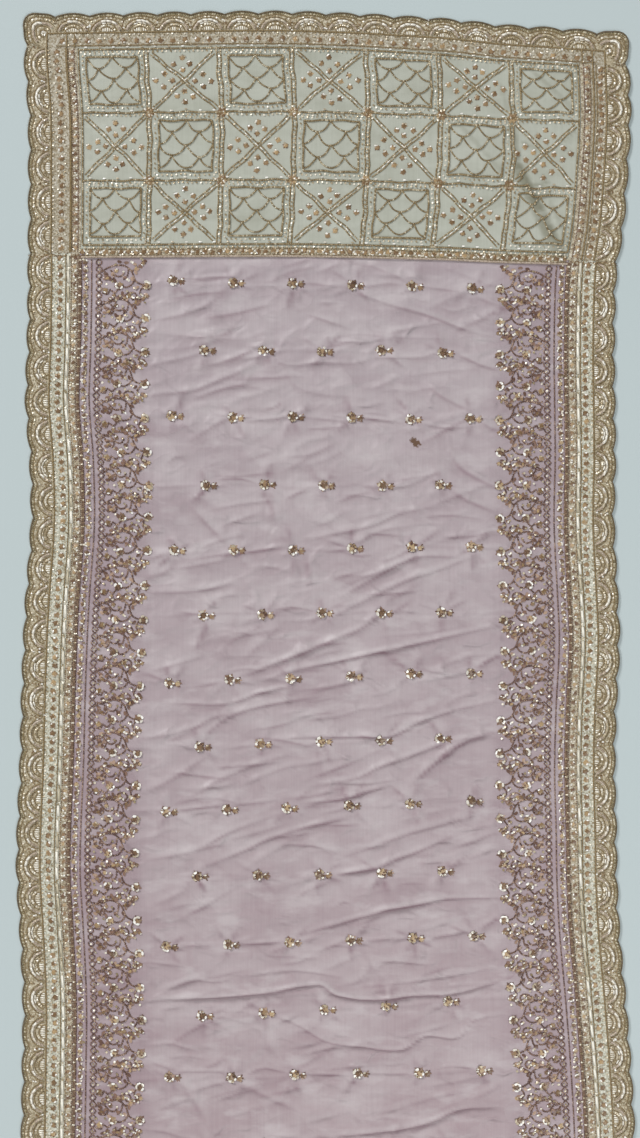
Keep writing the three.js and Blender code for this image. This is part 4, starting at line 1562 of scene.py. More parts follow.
@dataclass
class VineBand(Handiwork):
    """A band of flowers, leaves and chain along the net, which repeats down the cloth.

    Places are u, inwards from the lace, and v, down from the repeat's flower.
    """

    side: Side
    lace: float
    net: NetBody
    pitch: float = 63.5
    first: float = 520.0
    edge_flower: float = 126.0
    second_flower: float = 75.0
    chain: float = 36.0
    chain_half: float = 5.8
    bead_line: float = 22.0
    small_flower: float = 11.0
    small_pitch: float = 16.3

    def surface(self, x: Array, down: Array) -> Array:
        """The band lies on the net."""
        return self.net.surface(x, down)

    def at(self, u: Array | float, down: Array | float) -> Line:
        """x and down of a place in the band."""
        u, down = np.broadcast_arrays(np.asarray(u, float), np.asarray(down, float))
        return PLAN.inside(self.side, down, self.lace + u), down

    def build(self) -> Piece:
        """The whole band as one piece.

        Returns:
            The band as one object.
        """
        self.begin(SEED + 5 + (self.side is Side.RIGHT))
        start, end = SEAM_AT + 12, LENGTH - 20
        self.lines(start, SHOWN_TO, 1.0)
        self.lines(SHOWN_TO, end, COARSE)
        for i in range(int((end - self.first) / self.pitch) + 2):
            middle = self.first + self.pitch * i + self.chance.normal(0, 1.0)
            if middle < end - 14:
                self.unit(middle)
        return self.sew(f"vine_band_{self.side.value}")

    def lines(self, start: float, end: float, coarse: float) -> None:
        """The beaded line, the chain and the column of small flowers.

        Args:
            start: Where they start down the cloth.
            end: Where they end.
            coarse: How much larger and further apart the bits are.
        """
        down = np.arange(start, end, 10.0)
        for u, slant in ((self.bead_line, 0.6), (2.6, -0.6)):
            self.beads(Bit.BROWN, self.at(u, down), 3.6 * coarse, (4.6 * coarse, 3.4, 2.0), slant)
        turns = np.arange(start, end, 3.2)
        for phase in (0.0, math.pi):
            u = self.chain + self.chain_half * np.sin(turns * math.tau / 25.4 + phase)
            self.beads(Bit.BROWN, self.at(u, turns), 4.4 * coarse, (5.4 * coarse, 3.7, 1.9), 0.25)
        ovals = np.arange(start + 6.35, end, 12.7)
        x, d = self.at(self.chain + self.chance.normal(0, 0.6, len(ovals)), ovals)
        self.lay(Bit.SEQUIN, x, d, (4.2, 4.2, 4), 0.0, 1.2)
        down = np.arange(start + 5, end, self.small_pitch)
        x, d = self.at(self.small_flower + self.chance.normal(0, 0.5, len(down)), down)
        self.flowers(x, d, 5.8, Bit.GOLD_BLOOM, 2)
        spin = self.chance.uniform(0, math.tau, len(x))
        self.lay(Bit.SEQUIN, *around(x, d, 6, spin), (4.4, 4.4, 4), 0.0, 1.8)
        down = down[:-1] + self.small_pitch / 2
        x, d = self.at(self.small_flower + self.chance.normal(0, 1.6, len(down)), down)
        self.lay(Bit.LEAF, x, d, (5.6, 3.2, 5), self.chance.uniform(0, math.pi, len(x)), 0.8)
        self.lay(Bit.SEQUIN, x + 3, d, (3.8, 3.8, 4), 0.0, 1.4)

    def unit(self, down: float) -> None:
        """One repeat of the vine.

        Args:
            down: Where its edge flower lies, down the cloth.
        """
        shown = down < SHOWN_TO
        coarse = 1.0 if shown else COARSE
        for points in VINE_LINES[: 10 if shown else 7]:
            self.beads(Bit.BROWN, self.curve(down, points), 4.4 * coarse, (5.9 * coarse, 4.2, 2.1), 0.35)
        heart = Bit.GOLD_BLOOM
        self.bloom(self.edge_flower, down, 9.6, heart, 4)
        self.bloom(self.second_flower, down, 9.0, heart, 3)
        for u, v, size in ((49, 10, 6.2), (121, -40, 5.2), (69, -27, 5.0), (93, 21, 5.4), (64, 20, 4.8),
                           (128, 22, 4.6)):
            self.bloom(u, down + v, size, Bit.AMBER_BLOOM if size > 5.3 else heart, 1)
        leaves = np.array([
            (48, -12, 0.4), (52, -18, -0.5), (57, -13, 0.9), (50, -22, 0.2), (60, -20, -0.8), (105, -24, 1.2),
            (110, -29, -0.4), (114, -34, 0.9), (104, -38, 0.3), (124, -46, 0.2), (84, 22, 0.9),
            (88, 27, -0.3), (80, 17, 1.4), (76, -43, 0.2), (90, -43, -0.3), (98, -12, 1.0),
            (110, 6, -0.7), (86, -14, 0.4), (70, 26, 0.1), (56, 26, -0.5), (118, 27, 0.3), (68, -6, 1.2)])
        if not shown:
            leaves = leaves[::2]
        leaves += self.chance.normal(0, 1.0, leaves.shape) * (1, 1, 0.25)
        x, d = self.at(leaves[:, 0], down + leaves[:, 1])
        heading = np.where(self.side is Side.LEFT, -leaves[:, 2], leaves[:, 2])
        self.lay(Bit.LEAF, x, d, (10.0, 6.2, 6), heading, 0.8)
        pale = np.array([(53, -15), (107, -31), (85, 23)], float) + self.chance.normal(0, 1, (3, 2))
        x, d = self.at(pale[:, 0], down + pale[:, 1])
        self.lay(Bit.AMBER_LEAF, x, d, (9.0, 5.4, 7), heading[:3] + 0.8, 1.2)
        loose = np.array([(105, 5), (91, 10), (100, 14), (117, -48), (62, -4), (81, -24), (88, -10), (58, 28),
                          (74, 18), (112, 24), (66, -38), (46, -4), (99, -40), (122, 31)], float)
        loose = loose[: 14 if shown else 7]
        loose += self.chance.normal(0, 1.6, loose.shape)
        x, d = self.at(loose[:, 0], down + loose[:, 1])
        self.lay(Bit.SEQUIN, x, d, (5.0, 5.0, 4), 0.0, 1.4)
        x, d = self.at(loose[::3, 0] + 3, down + loose[::3, 1] + 2)
        self.lay(Bit.PETAL, x, d, (5.4, 3.8, 5), self.chance.uniform(0, 3, len(x)), 1.6)

    def curve(self, down: float, points: tuple[tuple[float, float], ...]) -> Line:
        """A smooth line through places in the band, given as u and v.

        Args:
            down: Where the repeat's flower lies.
            points: The places that the line goes through.

        Returns:
            The points of the line.
        """
        knots = np.arange(len(points), dtype=float)
        at = np.linspace(0, knots[-1], 3 * len(points))
        u, v = (read_curve(knots, np.array(column, float), at) for column in zip(*points))
        return self.at(u, down + v)

    def bloom(self, u: float, down: float, radius: float, heart: Bit, petals: int) -> None:
        """One flower of the vine at its place in the band.

        Args:
            u: How far in from the lace it lies.
            down: How far down the cloth.
            radius: Out to its petals' tips.
            heart: The smaller rosette on it.
            petals: How many bright petals it has.
        """
        x, d = self.at(u + self.chance.normal(0, 0.8), down + self.chance.normal(0, 0.8))
        self.flowers(x, d, radius, heart, petals)
        if radius > 8:
            spin = self.chance.uniform(0, math.tau, 5)
            self.lay(Bit.BROWN, *around(x, d, 0.42 * radius, spin), (3.8, 2.8, 2.2), spin, 2.6)


# ---- the scalloped lace ----------------------------------------------------------------


class Arc(NamedTuple):
    """A line of a scallop: how far in its crown lies, how wide it is, and where it stops."""

    crown: float
    wide: float
    open_deg: float


@dataclass(frozen=True)
class LaceBands:
    """A lace's cut, in metres, and how far in from the scallops' tips each of its lines lies."""

    flat: tuple[float, float]
    width: float
    rule: float
    strip: tuple[float, float]
    dots: float
    dot_pitch: float
    dashes: float | None
    braid: tuple[float, float] | None
    cord: float | None
    pink: bool = False


LACES = {
    "body_lace_left": LaceBands((0.100, 5.04), 100, 46, (50, 73), 62, 16.2, 78, (82, 97), None),
    "body_lace_right": LaceBands((0.094, 5.04), 94, 42, (48, 66), 57, 16.2, 70.5, (74, 91), None),
    "pallu_lace_left": LaceBands((0.101, 0.393), 101, 44.5, (47, 80), 63.5, 17, None, (84, 97), 82, True),
    "pallu_lace_right": LaceBands((0.096, 0.393), 96, 47, (51, 65), 57, 17, None, (76, 90), 70.5, True),
    "pallu_lace_top": LaceBands((1.148, 0.065), 65, 38, (40, 62), 53.5, 23.4, None, None, None, True),
}
SCALLOP_DEEP = 6.0
ARC_BRONZE = Arc(13.5, 0.97, 8)
ARC_SATIN = Arc(18.6, 0.82, 12)
ARC_INNER = Arc(23.6, 0.64, 12)
ARC_SEQUINS = Arc(27.4, 0.52, 14)
ARC_FAN = Arc(30.8, 0.42, 0)
FAN_FROM = 33.5
FULL_RULE = 44.0  # the rule's inset that the arcs are drawn for
CORNER_INSET = 61.0  # from the side's tips to where the corner's big scallop begins
CORNER_RADIUS = 38.0
CORNER_SQUARE = 0.25  # how much further out than a circle a corner reaches on the diagonal


@dataclass
class Lace(Handiwork):
    """A run of scalloped lace: what is sewn on it in its own places along and inwards.

    A subclass says where a place along the run and inwards from its tips lies on the cloth.
    """

    name: str
    start: float
    end: float
    count: int
    steps: int = 8

    def __post_init__(self) -> None:
        """Find its bands, and how wide each of its scallops is."""
        self.bands = LACES[self.name]
        self.pitch = (self.end - self.start) / self.count

    def at(self, along: Array, inset: Array | float) -> Line:
        """x and down of a place along the run and inwards from its tips."""
        raise NotImplementedError

    def fall(self, along: Array, bend: float = 1.0) -> Array:
        """How far the scallops fall back from their tips at a place along the run."""
        share = ((along - self.start) / self.pitch) % 1.0
        return bend * SCALLOP_DEEP * (2 * share - 1) ** 2

    def surface(self, x: Array, down: Array) -> Array:
        """The lace lies flat, at its wall's height."""
        return np.full(np.shape(x), LACE_WALL)

    def insets(self) -> list[tuple[float, float, float, int]]:
        """Inset, bend, height and finish of each line of the ground, from the tips inwards.

        Returns:
            The lines, from the tips to the inner edge.
        """
        bands = self.bands
        strip = 2 if bands.pink else 1
        lines = [(0.0, 1.0, 1.5, 0), (0.8, 1.0, 1.9, 0), (3.5, 1.05, 2.1, 0), (7.5, 1.1, 1.8, 0),
                 (13, 1.0, 1.7, 0), (20, 0.7, 1.9, 0), (28, 0.3, 1.7, 0),
                 (bands.rule - 2, 0, 1.6, 0), (bands.rule, 0, 2.2, 0),
                 (bands.rule + 1.6, 0, 1.6, strip), (bands.rule + 3.2, 0, 1.55, strip),
                 (bands.strip[1], 0, 1.5, strip)]
        if bands.braid is not None:
            middle = sum(bands.braid) / 2
            lines += [(bands.braid[0], 0, 1.5, 3), (middle, 0, 2.1, 3), (bands.braid[1], 0, 1.5, 3)]
        last = 3 if bands.braid else strip
        return [*lines, (bands.width - RIM, 0, 1.5, last), (bands.width, 0, 1.5, last)]

    def ground(self) -> Piece:
        """The lace's cloth, closed over a flat underside.

        Returns:
            The cloth as one object.
        """
        places = self.rimmed(self.count * self.steps)
        coarse = self.rimmed(self.count * 2)
        upper, zones = [], []
        for inset, bend, high, zone in self.insets():
            along = places if inset < self.bands.rule + 4 else coarse
            upper.append(PLAN.place(*self.at(along, inset + self.fall(along, bend)), high))
            zones.append(zone)
        lower = [PLAN.place(*self.at(places, self.fall(places)), 0),
                 PLAN.place(*self.at(coarse, self.bands.width), 0)]
        finishes = [SCALLOP_GROUND, CREAM_STRIP, PALLU_STRIP, BEADED_STRIP]
        return closed_cloth(f"{self.name}_ground", upper, lower, finishes, zones)

    def rimmed(self, count: int) -> Array:
        """Even places along the run, with one more just inside each end."""
        places = np.linspace(self.start, self.end, count + 1)
        return np.sort([*places, self.start + RIM, self.end - RIM])

    def arc(self, middle: float, arc: Arc, count: int) -> Line:
        """The points of one arc of the scallop round a middle.

        Args:
            middle: The scallop's middle, along the run.
            arc: The arc.
            count: How many points.

        Returns:
            The points of the arc.
        """
        scale = self.bands.rule / FULL_RULE
        angle = np.radians(np.linspace(arc.open_deg, 180 - arc.open_deg, count))
        along = middle - 0.5 * self.pitch * arc.wide * np.cos(angle)
        inset = self.bands.rule - (FULL_RULE - arc.crown) * scale * np.sin(angle)
        return self.at(along, inset)

    def scallop(self, middle: float) -> None:
        """The arcs, bugles and tufts of one scallop.

        Args:
            middle: The scallop's middle, along the run.
        """
        shown = self.coarse_at(middle) == 1.0
        fine = 1.0 if shown else 0.7
        for thread, arc, count in ((Thread.BRONZE, ARC_BRONZE, 13), (Thread.SATIN, ARC_SATIN, 11),
                                   (Thread.BRONZE, ARC_INNER, 10), (Thread.BRONZE, ARC_FAN, 8)):
            self.couch(thread, self.arc(middle, arc, int(count * fine)))
        self.beads(Bit.SEQUIN, self.arc(middle, ARC_SEQUINS, 12), 4.4 / fine, (4.4, 4.4, 4), lift=1.2)
        if shown:
            ladder = self.arc(middle, ARC_BRONZE._replace(crown=15.6), 12)
            self.beads(Bit.LADDER, ladder, 5.2, (3.4, 2.4, 1.8), 1.0)
        left_off = max(0, int(1 + self.chance.normal(0, 12) / 12))
        x, down = self.arc(middle, ARC_SATIN._replace(open_deg=44), 9)
        self.beads(Bit.BUGLE, (x[left_off:], down[left_off:]), 9.4, (9.4, 4.4, 2.4), lift=2.2)
        if self.chance.random() < 0.55:
            inner = self.arc(middle, ARC_INNER._replace(open_deg=self.chance.uniform(25, 70)), 9)
            self.beads(Bit.BUGLE, inner, 8.6, (7.4, 2.6, 2.0), lift=1.8)
        spots = self.arc(middle, ARC_SATIN._replace(open_deg=14), 9)
        self.beads(Bit.SEQUIN, spots, 14.0 / fine, (4.0, 4.0, 4), lift=2.4)
        self.fan(middle, 6 if shown else 4)
        tuft = middle + self.pitch / 2
        if tuft < self.end - 5:
            count = 7 if shown else 4
            spread = self.chance.normal(0, 1, (2, count)) * np.array([[3.0], [5.0]])
            x, down = self.at(tuft + spread[0], self.bands.rule * 0.62 + spread[1])
            self.lay(Bit.AMBER, x, down, (5.0, 2.4, 2), self.chance.uniform(0, math.pi, count))
            along = tuft + self.chance.normal(0, 3, 3)
            x, down = self.at(along, self.bands.rule * 0.7 + self.chance.normal(0, 6, 3))
            self.lay(Bit.PETAL, x, down, (4.2, 3.4, 5), 0.0, 1.6)

    def fan(self, middle: float, count: int) -> None:
        """The bugle beads that lie across the middle of a scallop.

        Args:
            middle: The scallop's middle, along the run.
            count: How many bugles.
        """
        scale = self.bands.rule / FULL_RULE
        wide = 0.5 * self.pitch * ARC_FAN.wide
        along = np.linspace(-0.78, 0.78, count)
        top = self.bands.rule - (FULL_RULE - FAN_FROM) * scale * np.sqrt(1 - along**2)
        for place, inset in zip(middle + along * wide, top):
            self.rod(Bit.BUGLE, self.at(place, inset), self.at(place, self.bands.rule - 2.5), 2.6, 1.8)

    def stretches(self) -> list[tuple[float, float, float]]:
        """The parts of the run: where each starts and ends, and how coarsely it is worked.

        Returns:
            The parts, in order.
        """
        if self.end <= SHOWN_TO:
            return [(self.start, self.end, 1.0)]
        change = self.start + self.pitch * math.ceil((SHOWN_TO - self.start) / self.pitch)
        return [(self.start, change, 1.0), (change, self.end, COARSE)]

    def coarse_at(self, along: float) -> float:
        """How coarsely the run is worked at one place."""
        return next(coarse for start, end, coarse in self.stretches() if along <= end)

    def border(self, start: float, end: float, coarse: float) -> None:
        """The cords that follow the scalloped edge along one stretch.

        Args:
            start: Where it starts.
            end: Where it ends.
            coarse: How much larger and further apart the bits are.
        """
        count = round((end - start) / self.pitch)
        places = np.linspace(start, end, count * round(10 / coarse) + 1)
        places[-1] -= 1e-6
        cord, stitches, thread, sequins = (
            self.at(places, inset + self.fall(places, bend))
            for inset, bend in ((1.3, 1.0), (4.8, 1.08), (7.6, 1.2), (10.4, 1.4)))
        self.couch(Thread.EDGE, cord)
        self.beads(Bit.OLIVE, stitches, 3.3 * coarse, (5.4, 2.7, 1.9), 1.1)
        self.couch(Thread.BRONZE, thread)
        self.beads(Bit.SEQUIN, sequins, 7.5 * coarse, (4.0, 4.0, 4), lift=1.0)

    def strips(self, start: float, end: float, coarse: float) -> None:
        """The straight lines, dots, dashes and beads inside the scallops, along one stretch.

        Args:
            start: Where it starts.
            end: Where it ends.
            coarse: How much larger and further apart the bits are.
        """
        bands = self.bands
        along = np.linspace(start + 1, end - 1, round((end - start) / self.pitch * 3) + 1)
        self.couch(Thread.HEAVY, self.at(along, bands.rule))
        self.beads(Bit.SEQUIN, self.at(along, bands.rule + 3.4), 8.0 * coarse, (3.8, 3.8, 4), lift=1.0)
        self.couch(Thread.BRONZE, self.at(along, bands.strip[1]))
        dots = spaced((along, along * 0), bands.dot_pitch)[0][0]
        x, down = self.at(dots, bands.dots + self.chance.normal(0, 0.5, len(dots)))
        self.flowers(x, down, 6.2, Bit.AMBER_BLOOM, 1)
        for off in (-6.5, 6.5):
            near = dots[:-1] + bands.dot_pitch / 2 + self.chance.normal(0, 1.5, len(dots) - 1)
            x, down = self.at(near, bands.dots + off + self.chance.normal(0, 1.0, len(near)))
            self.lay(Bit.SEQUIN, x, down, (3.8, 3.8, 4), 0.0, 1.2)
        if bands.dashes is not None:
            self.dashes(along, bands.dashes)
        if bands.cord is not None:
            self.couch(Thread.HEAVY, self.at(along, bands.cord))
        if bands.braid is not None:
            self.braid(along, bands.braid, coarse)

    def dashes(self, along: Array, inset: float) -> None:
        """White ribbon dashes in a line, with sequins between them.

        Args:
            along: Places along the run.
            inset: How far inside the tips.
        """
        place = along[0] + 4
        while place < along[-1] - 26:
            long = self.chance.uniform(17, 25)
            self.rod(Bit.GOTA, self.at(place, inset), self.at(place + long, inset), 5.6, 1.8)
            x, down = self.at(place + long + np.array([2.5, 5.5]), inset + self.chance.normal(0, 1.2, 2))
            self.lay(Bit.SEQUIN, x, down, (4.0, 4.0, 4), 0.0, 1.2)
            place += long + 8

    def braid(self, along: Array, braid: tuple[float, float], coarse: float) -> None:
        """A beaded strip: a line of beads down each side, and flowers between them.

        Args:
            along: Places along the run.
            braid: How far inside the tips its two edges lie.
            coarse: How much larger and further apart the bits are.
        """
        for inset, bit in ((braid[0] + 1.2, Bit.GOLD), (braid[1] - 1.4, Bit.BROWN)):
            self.beads(bit, self.at(along, inset), 3.9 * coarse, (4.2 * coarse, 2.8, 2.0), 0.5)
        middle = sum(braid) / 2
        places = spaced((along, along * 0), 16.6)[0][0]
        x, down = self.at(places, middle + self.chance.normal(0, 0.6, len(places)))
        self.flowers(x, down, 5.4, Bit.GOLD_BLOOM, 1)
        for off in (-2.6, 2.2):
            x, down = self.at(places[:-1] + 8.3 + self.chance.normal(0, 1.2, len(places) - 1), middle + off)
            self.lay(Bit.PETAL if off > 0 else Bit.SEQUIN, x, down, (4.0, 3.6, 4), 0.0, 1.2)

    def handiwork(self) -> Piece:
        """Everything that is sewn on the lace.

        Returns:
            All of it as one object.
        """
        self.begin(SEED + sum(map(ord, self.name)))
        for start, end, coarse in self.stretches():
            self.border(start, end, coarse)
            self.strips(start, end, coarse)
        for i in range(self.count):
            self.scallop(self.start + self.pitch * (i + 0.5))
        self.extras()
        return self.sew(f"{self.name}_beading")

    def extras(self) -> None:
        """What only one run of the lace has."""

    def dress(self) -> list[Piece]:
        return declare(self.ground(), self.name, self.bands.flat, [self.handiwork()])


@dataclass
class SideLace(Lace):
    """A lace down one long side of the cloth."""

    side: Side = Side.LEFT

    def at(self, along: Array, inset: Array | float) -> Line:
        """Along the run is down the cloth."""
        along = np.asarray(along, float)
        return PLAN.inside(self.side, along, inset), along + 0 * np.asarray(inset)

    def extras(self) -> None:
        """The threads that close the join between the pallu's lace and the body's."""
        if self.start < SEAM_AT - 100:
            return
        inset = np.arange(3, self.bands.width - 2, 2.2)
        x, down = self.at(self.start + 4 + self.chance.normal(0, 2, len(inset)), inset)
        self.lay(Bit.AMBER, x, down, (6.0, 1.8, 1.8), self.chance.normal(0.3, 0.5, len(inset)))


@dataclass
class EndLace(Lace):
    """The lace along the pallu's end, with one big scallop round each corner."""

    def at(self, along: Array, inset: Array | float) -> Line:
        """Along the run is across the cloth."""
        along = np.asarray(along, float)
        return along + 0 * np.asarray(inset), np.broadcast_to(inset, along.shape) + 0.0

    def corner(self, side: Side, inset: float, start: float, end: float, count: int) -> Line:
        """Points round a corner's big scallop, between two angles in degrees.

        Args:
            side: Which side.
            inset: How far inside its edge.
            start: The first angle.
            end: The last angle.
            count: How many points.

        Returns:
            The points.
        """
        angle = np.radians(np.linspace(start, end, count))
        reach = 1 + CORNER_SQUARE * np.maximum(0, np.sin(2 * angle)) ** 2
        radius = (CORNER_RADIUS - inset) * reach
        edge = EDGE[0].left if side is Side.LEFT else EDGE[0].right
        x = edge + side.inward * (CORNER_RADIUS - radius * np.cos(angle))
        return x, CORNER_RADIUS - radius * np.sin(angle)

    def turned(self, inset: float, bend: float, steps: int, corner: int) -> Line:
        """A scalloped line along the end and down both of its corners.

        Args:
            inset: How far inside the tips.
            bend: How much of the scallops' wave the line keeps.
            steps: How many points each scallop has.
            corner: How many steps each corner has.

        Returns:
            The points, from the left side to the right.
        """
        end = self.bands.width - GAP / 2
        along = np.linspace(self.start, self.end, self.count * steps + 1)
        runs = []
        for side in Side:
            foot = PLAN.inside(side, np.array([end]), inset + bend * SCALLOP_DEEP)
            x, down = self.corner(side, inset, -41, 135, corner + 1)
            runs.append((np.concatenate([foot, x[1:-1]]), np.concatenate([[end], down[1:-1]])))
        middle = self.at(along, inset + self.fall(along, bend))
        (left_x, left_down), (right_x, right_down) = runs
        return (np.concatenate([left_x, middle[0], right_x[::-1]]),
                np.concatenate([left_down, middle[1], right_down[::-1]]))

    def ruled(self, side_inset: float, inset: float) -> Line:
        """A straight line along the end, turned square down both sides.

        Args:
            side_inset: How far inside the sides' tips it runs.
            inset: How far inside the end's tips.

        Returns:
            The points, from the left side to the right.
        """
        end = self.bands.width - GAP / 2
        along = np.linspace(self.start, self.end, self.count + 1)
        xs, downs = [], []
        for side in Side:
            foot = [end, end - RIM, inset]
            xs.append([float(PLAN.inside(side, np.array(d), side_inset)) for d in foot])
            downs.append(foot)
        return (np.concatenate([xs[0], along, xs[1][::-1]]),
                np.concatenate([downs[0], np.full(len(along), inset), downs[1][::-1]]))

    def ground(self) -> Piece:
        """The lace's cloth with its corners, closed over a flat underside.

        Returns:
            The cloth as one object.
        """
        end = self.bands.width - GAP / 2
        inside = np.linspace(*PLAN.span(np.array(end), 101.0, 96.0), self.count + 1)
        lines = ((0.0, 1.0, 1.5), (0.8, 1.0, 1.9), (3.5, 1.05, 2.1), (7.5, 1.1, 1.8), (13, 1.0, 1.7),
                 (20, 0.6, 1.9))
        upper = [PLAN.place(*self.turned(inset, bend, 8, 18), high) for inset, bend, high in lines]
        rules = ((38.0, 36.0, 1.6), (44.0, 38.0, 2.2), (46.0, 40.0, 1.6), (48.0, 42.0, 1.55))
        upper += [PLAN.place(*self.ruled(side_inset, inset), high) for side_inset, inset, high in rules]
        upper += [PLAN.place(inside, end - RIM, LACE_WALL), PLAN.place(inside, end, LACE_WALL)]
        lower = [PLAN.place(*self.turned(0.0, 1.0, 8, 18), 0), PLAN.place(inside, end, 0)]
        zones = [0] * 8 + [1] * 3
        return closed_cloth(f"{self.name}_ground", upper, lower, [SCALLOP_GROUND, PALLU_STRIP], zones)

    def extras(self) -> None:
        """The two corners: cords, sequins and bugles round each, and the strips that turn there."""
        for side in Side:
            for inset, reach in ((1.3, 0), (7.4, 0), (14.0, 14), (24.0, 30), (31.0, 60)):
                thread = Thread.EDGE if inset < 2 else Thread.BRONZE
                self.couch(thread, self.corner(side, inset, -38 - reach, 132 + reach, 18))
            self.beads(Bit.OLIVE, self.corner(side, 4.8, -38, 132, 24), 3.3, (5.4, 2.7, 1.9), 1.1)
            self.couch(Thread.SATIN, self.corner(side, 19.0, -52, 144, 16))
            self.beads(Bit.BUGLE, self.corner(side, 19.0, 20, 78, 12), 9.4, (9.4, 4.4, 2.4), lift=2.2)
            for inset in (10.4, 27.5):
                ring = self.corner(side, inset, -34 - inset, 128 + inset, 20)
                self.beads(Bit.SEQUIN, ring, 7.0, (4.2, 4.2, 4), lift=1.2)
            for angle in (-52.0, 142.0):
                x, down = (part + self.chance.normal(0, 2.5, 5)
                           for part in self.corner(side, 6.0, angle - 10, angle + 10, 5))
                self.lay(Bit.AMBER, x, down, (5.0, 2.4, 2), self.chance.uniform(0, math.pi, 5))
            x, down = self.corner(side, 35.0, 0, 300, 6)
            self.lay(Bit.PETAL, x, down, (4.4, 3.4, 5), 0.4, 1.6)
            self.corner_strips(side)

    def corner_strips(self, side: Side) -> None:
        """The side lace's lines, which carry on up to the end lace's rule, and a line along that rule to the
        run's end.

        Args:
            side: Which side.
        """
        end, top = self.bands.width, self.bands.rule
        bands = LACES[f"pallu_lace_{side.value}"]
        down = np.linspace(top, end, 4)
        for inset in (bands.rule, bands.cord, bands.braid[1]):
            self.couch(Thread.HEAVY, (PLAN.inside(side, down, inset), down))
        corner = float(PLAN.inside(side, np.array(top), bands.rule))
        edge = self.start if side is Side.LEFT else self.end
        self.couch(Thread.HEAVY, (np.linspace(corner, edge, 5), np.full(5, top)))


# ---- the pallu -------------------------------------------------------------------------


class PalluFold(NamedTuple):
    """A fold pinched into the pallu: where it runs, how high and wide it is and how dark it looks."""

    x: float
    down: float
    to_x: float
    to_down: float
    high: float
    wide: float
    dark: float


PALLU_FOLDS = tuple(PalluFold(*row) for row in (
    (352, 200, 364, 285, 2.2, 8, 0.6), (364, 285, 402, 359, 3.2, 12, 0.95),
    (402, 359, 446, 456, 3.4, 15, 0.82), (366, 325, 420, 312, 2.4, 4, 0.6),
    (380, 342, 425, 332, 1.8, 4, 0.6), (452, 232, 470, 212, 2.0, 4, 0.5),
    (393, 88, 468, 166, 1.4, 6, 0.35), (250, 205, 332, 290, 1.2, 6, 0.3), (330, 120, 352, 205, 1.0, 5, 0.25),
    (425, 345, 462, 430, 1.4, 5, 0.3), (372, 235, 425, 262, 1.2, 4, 0.35),
))


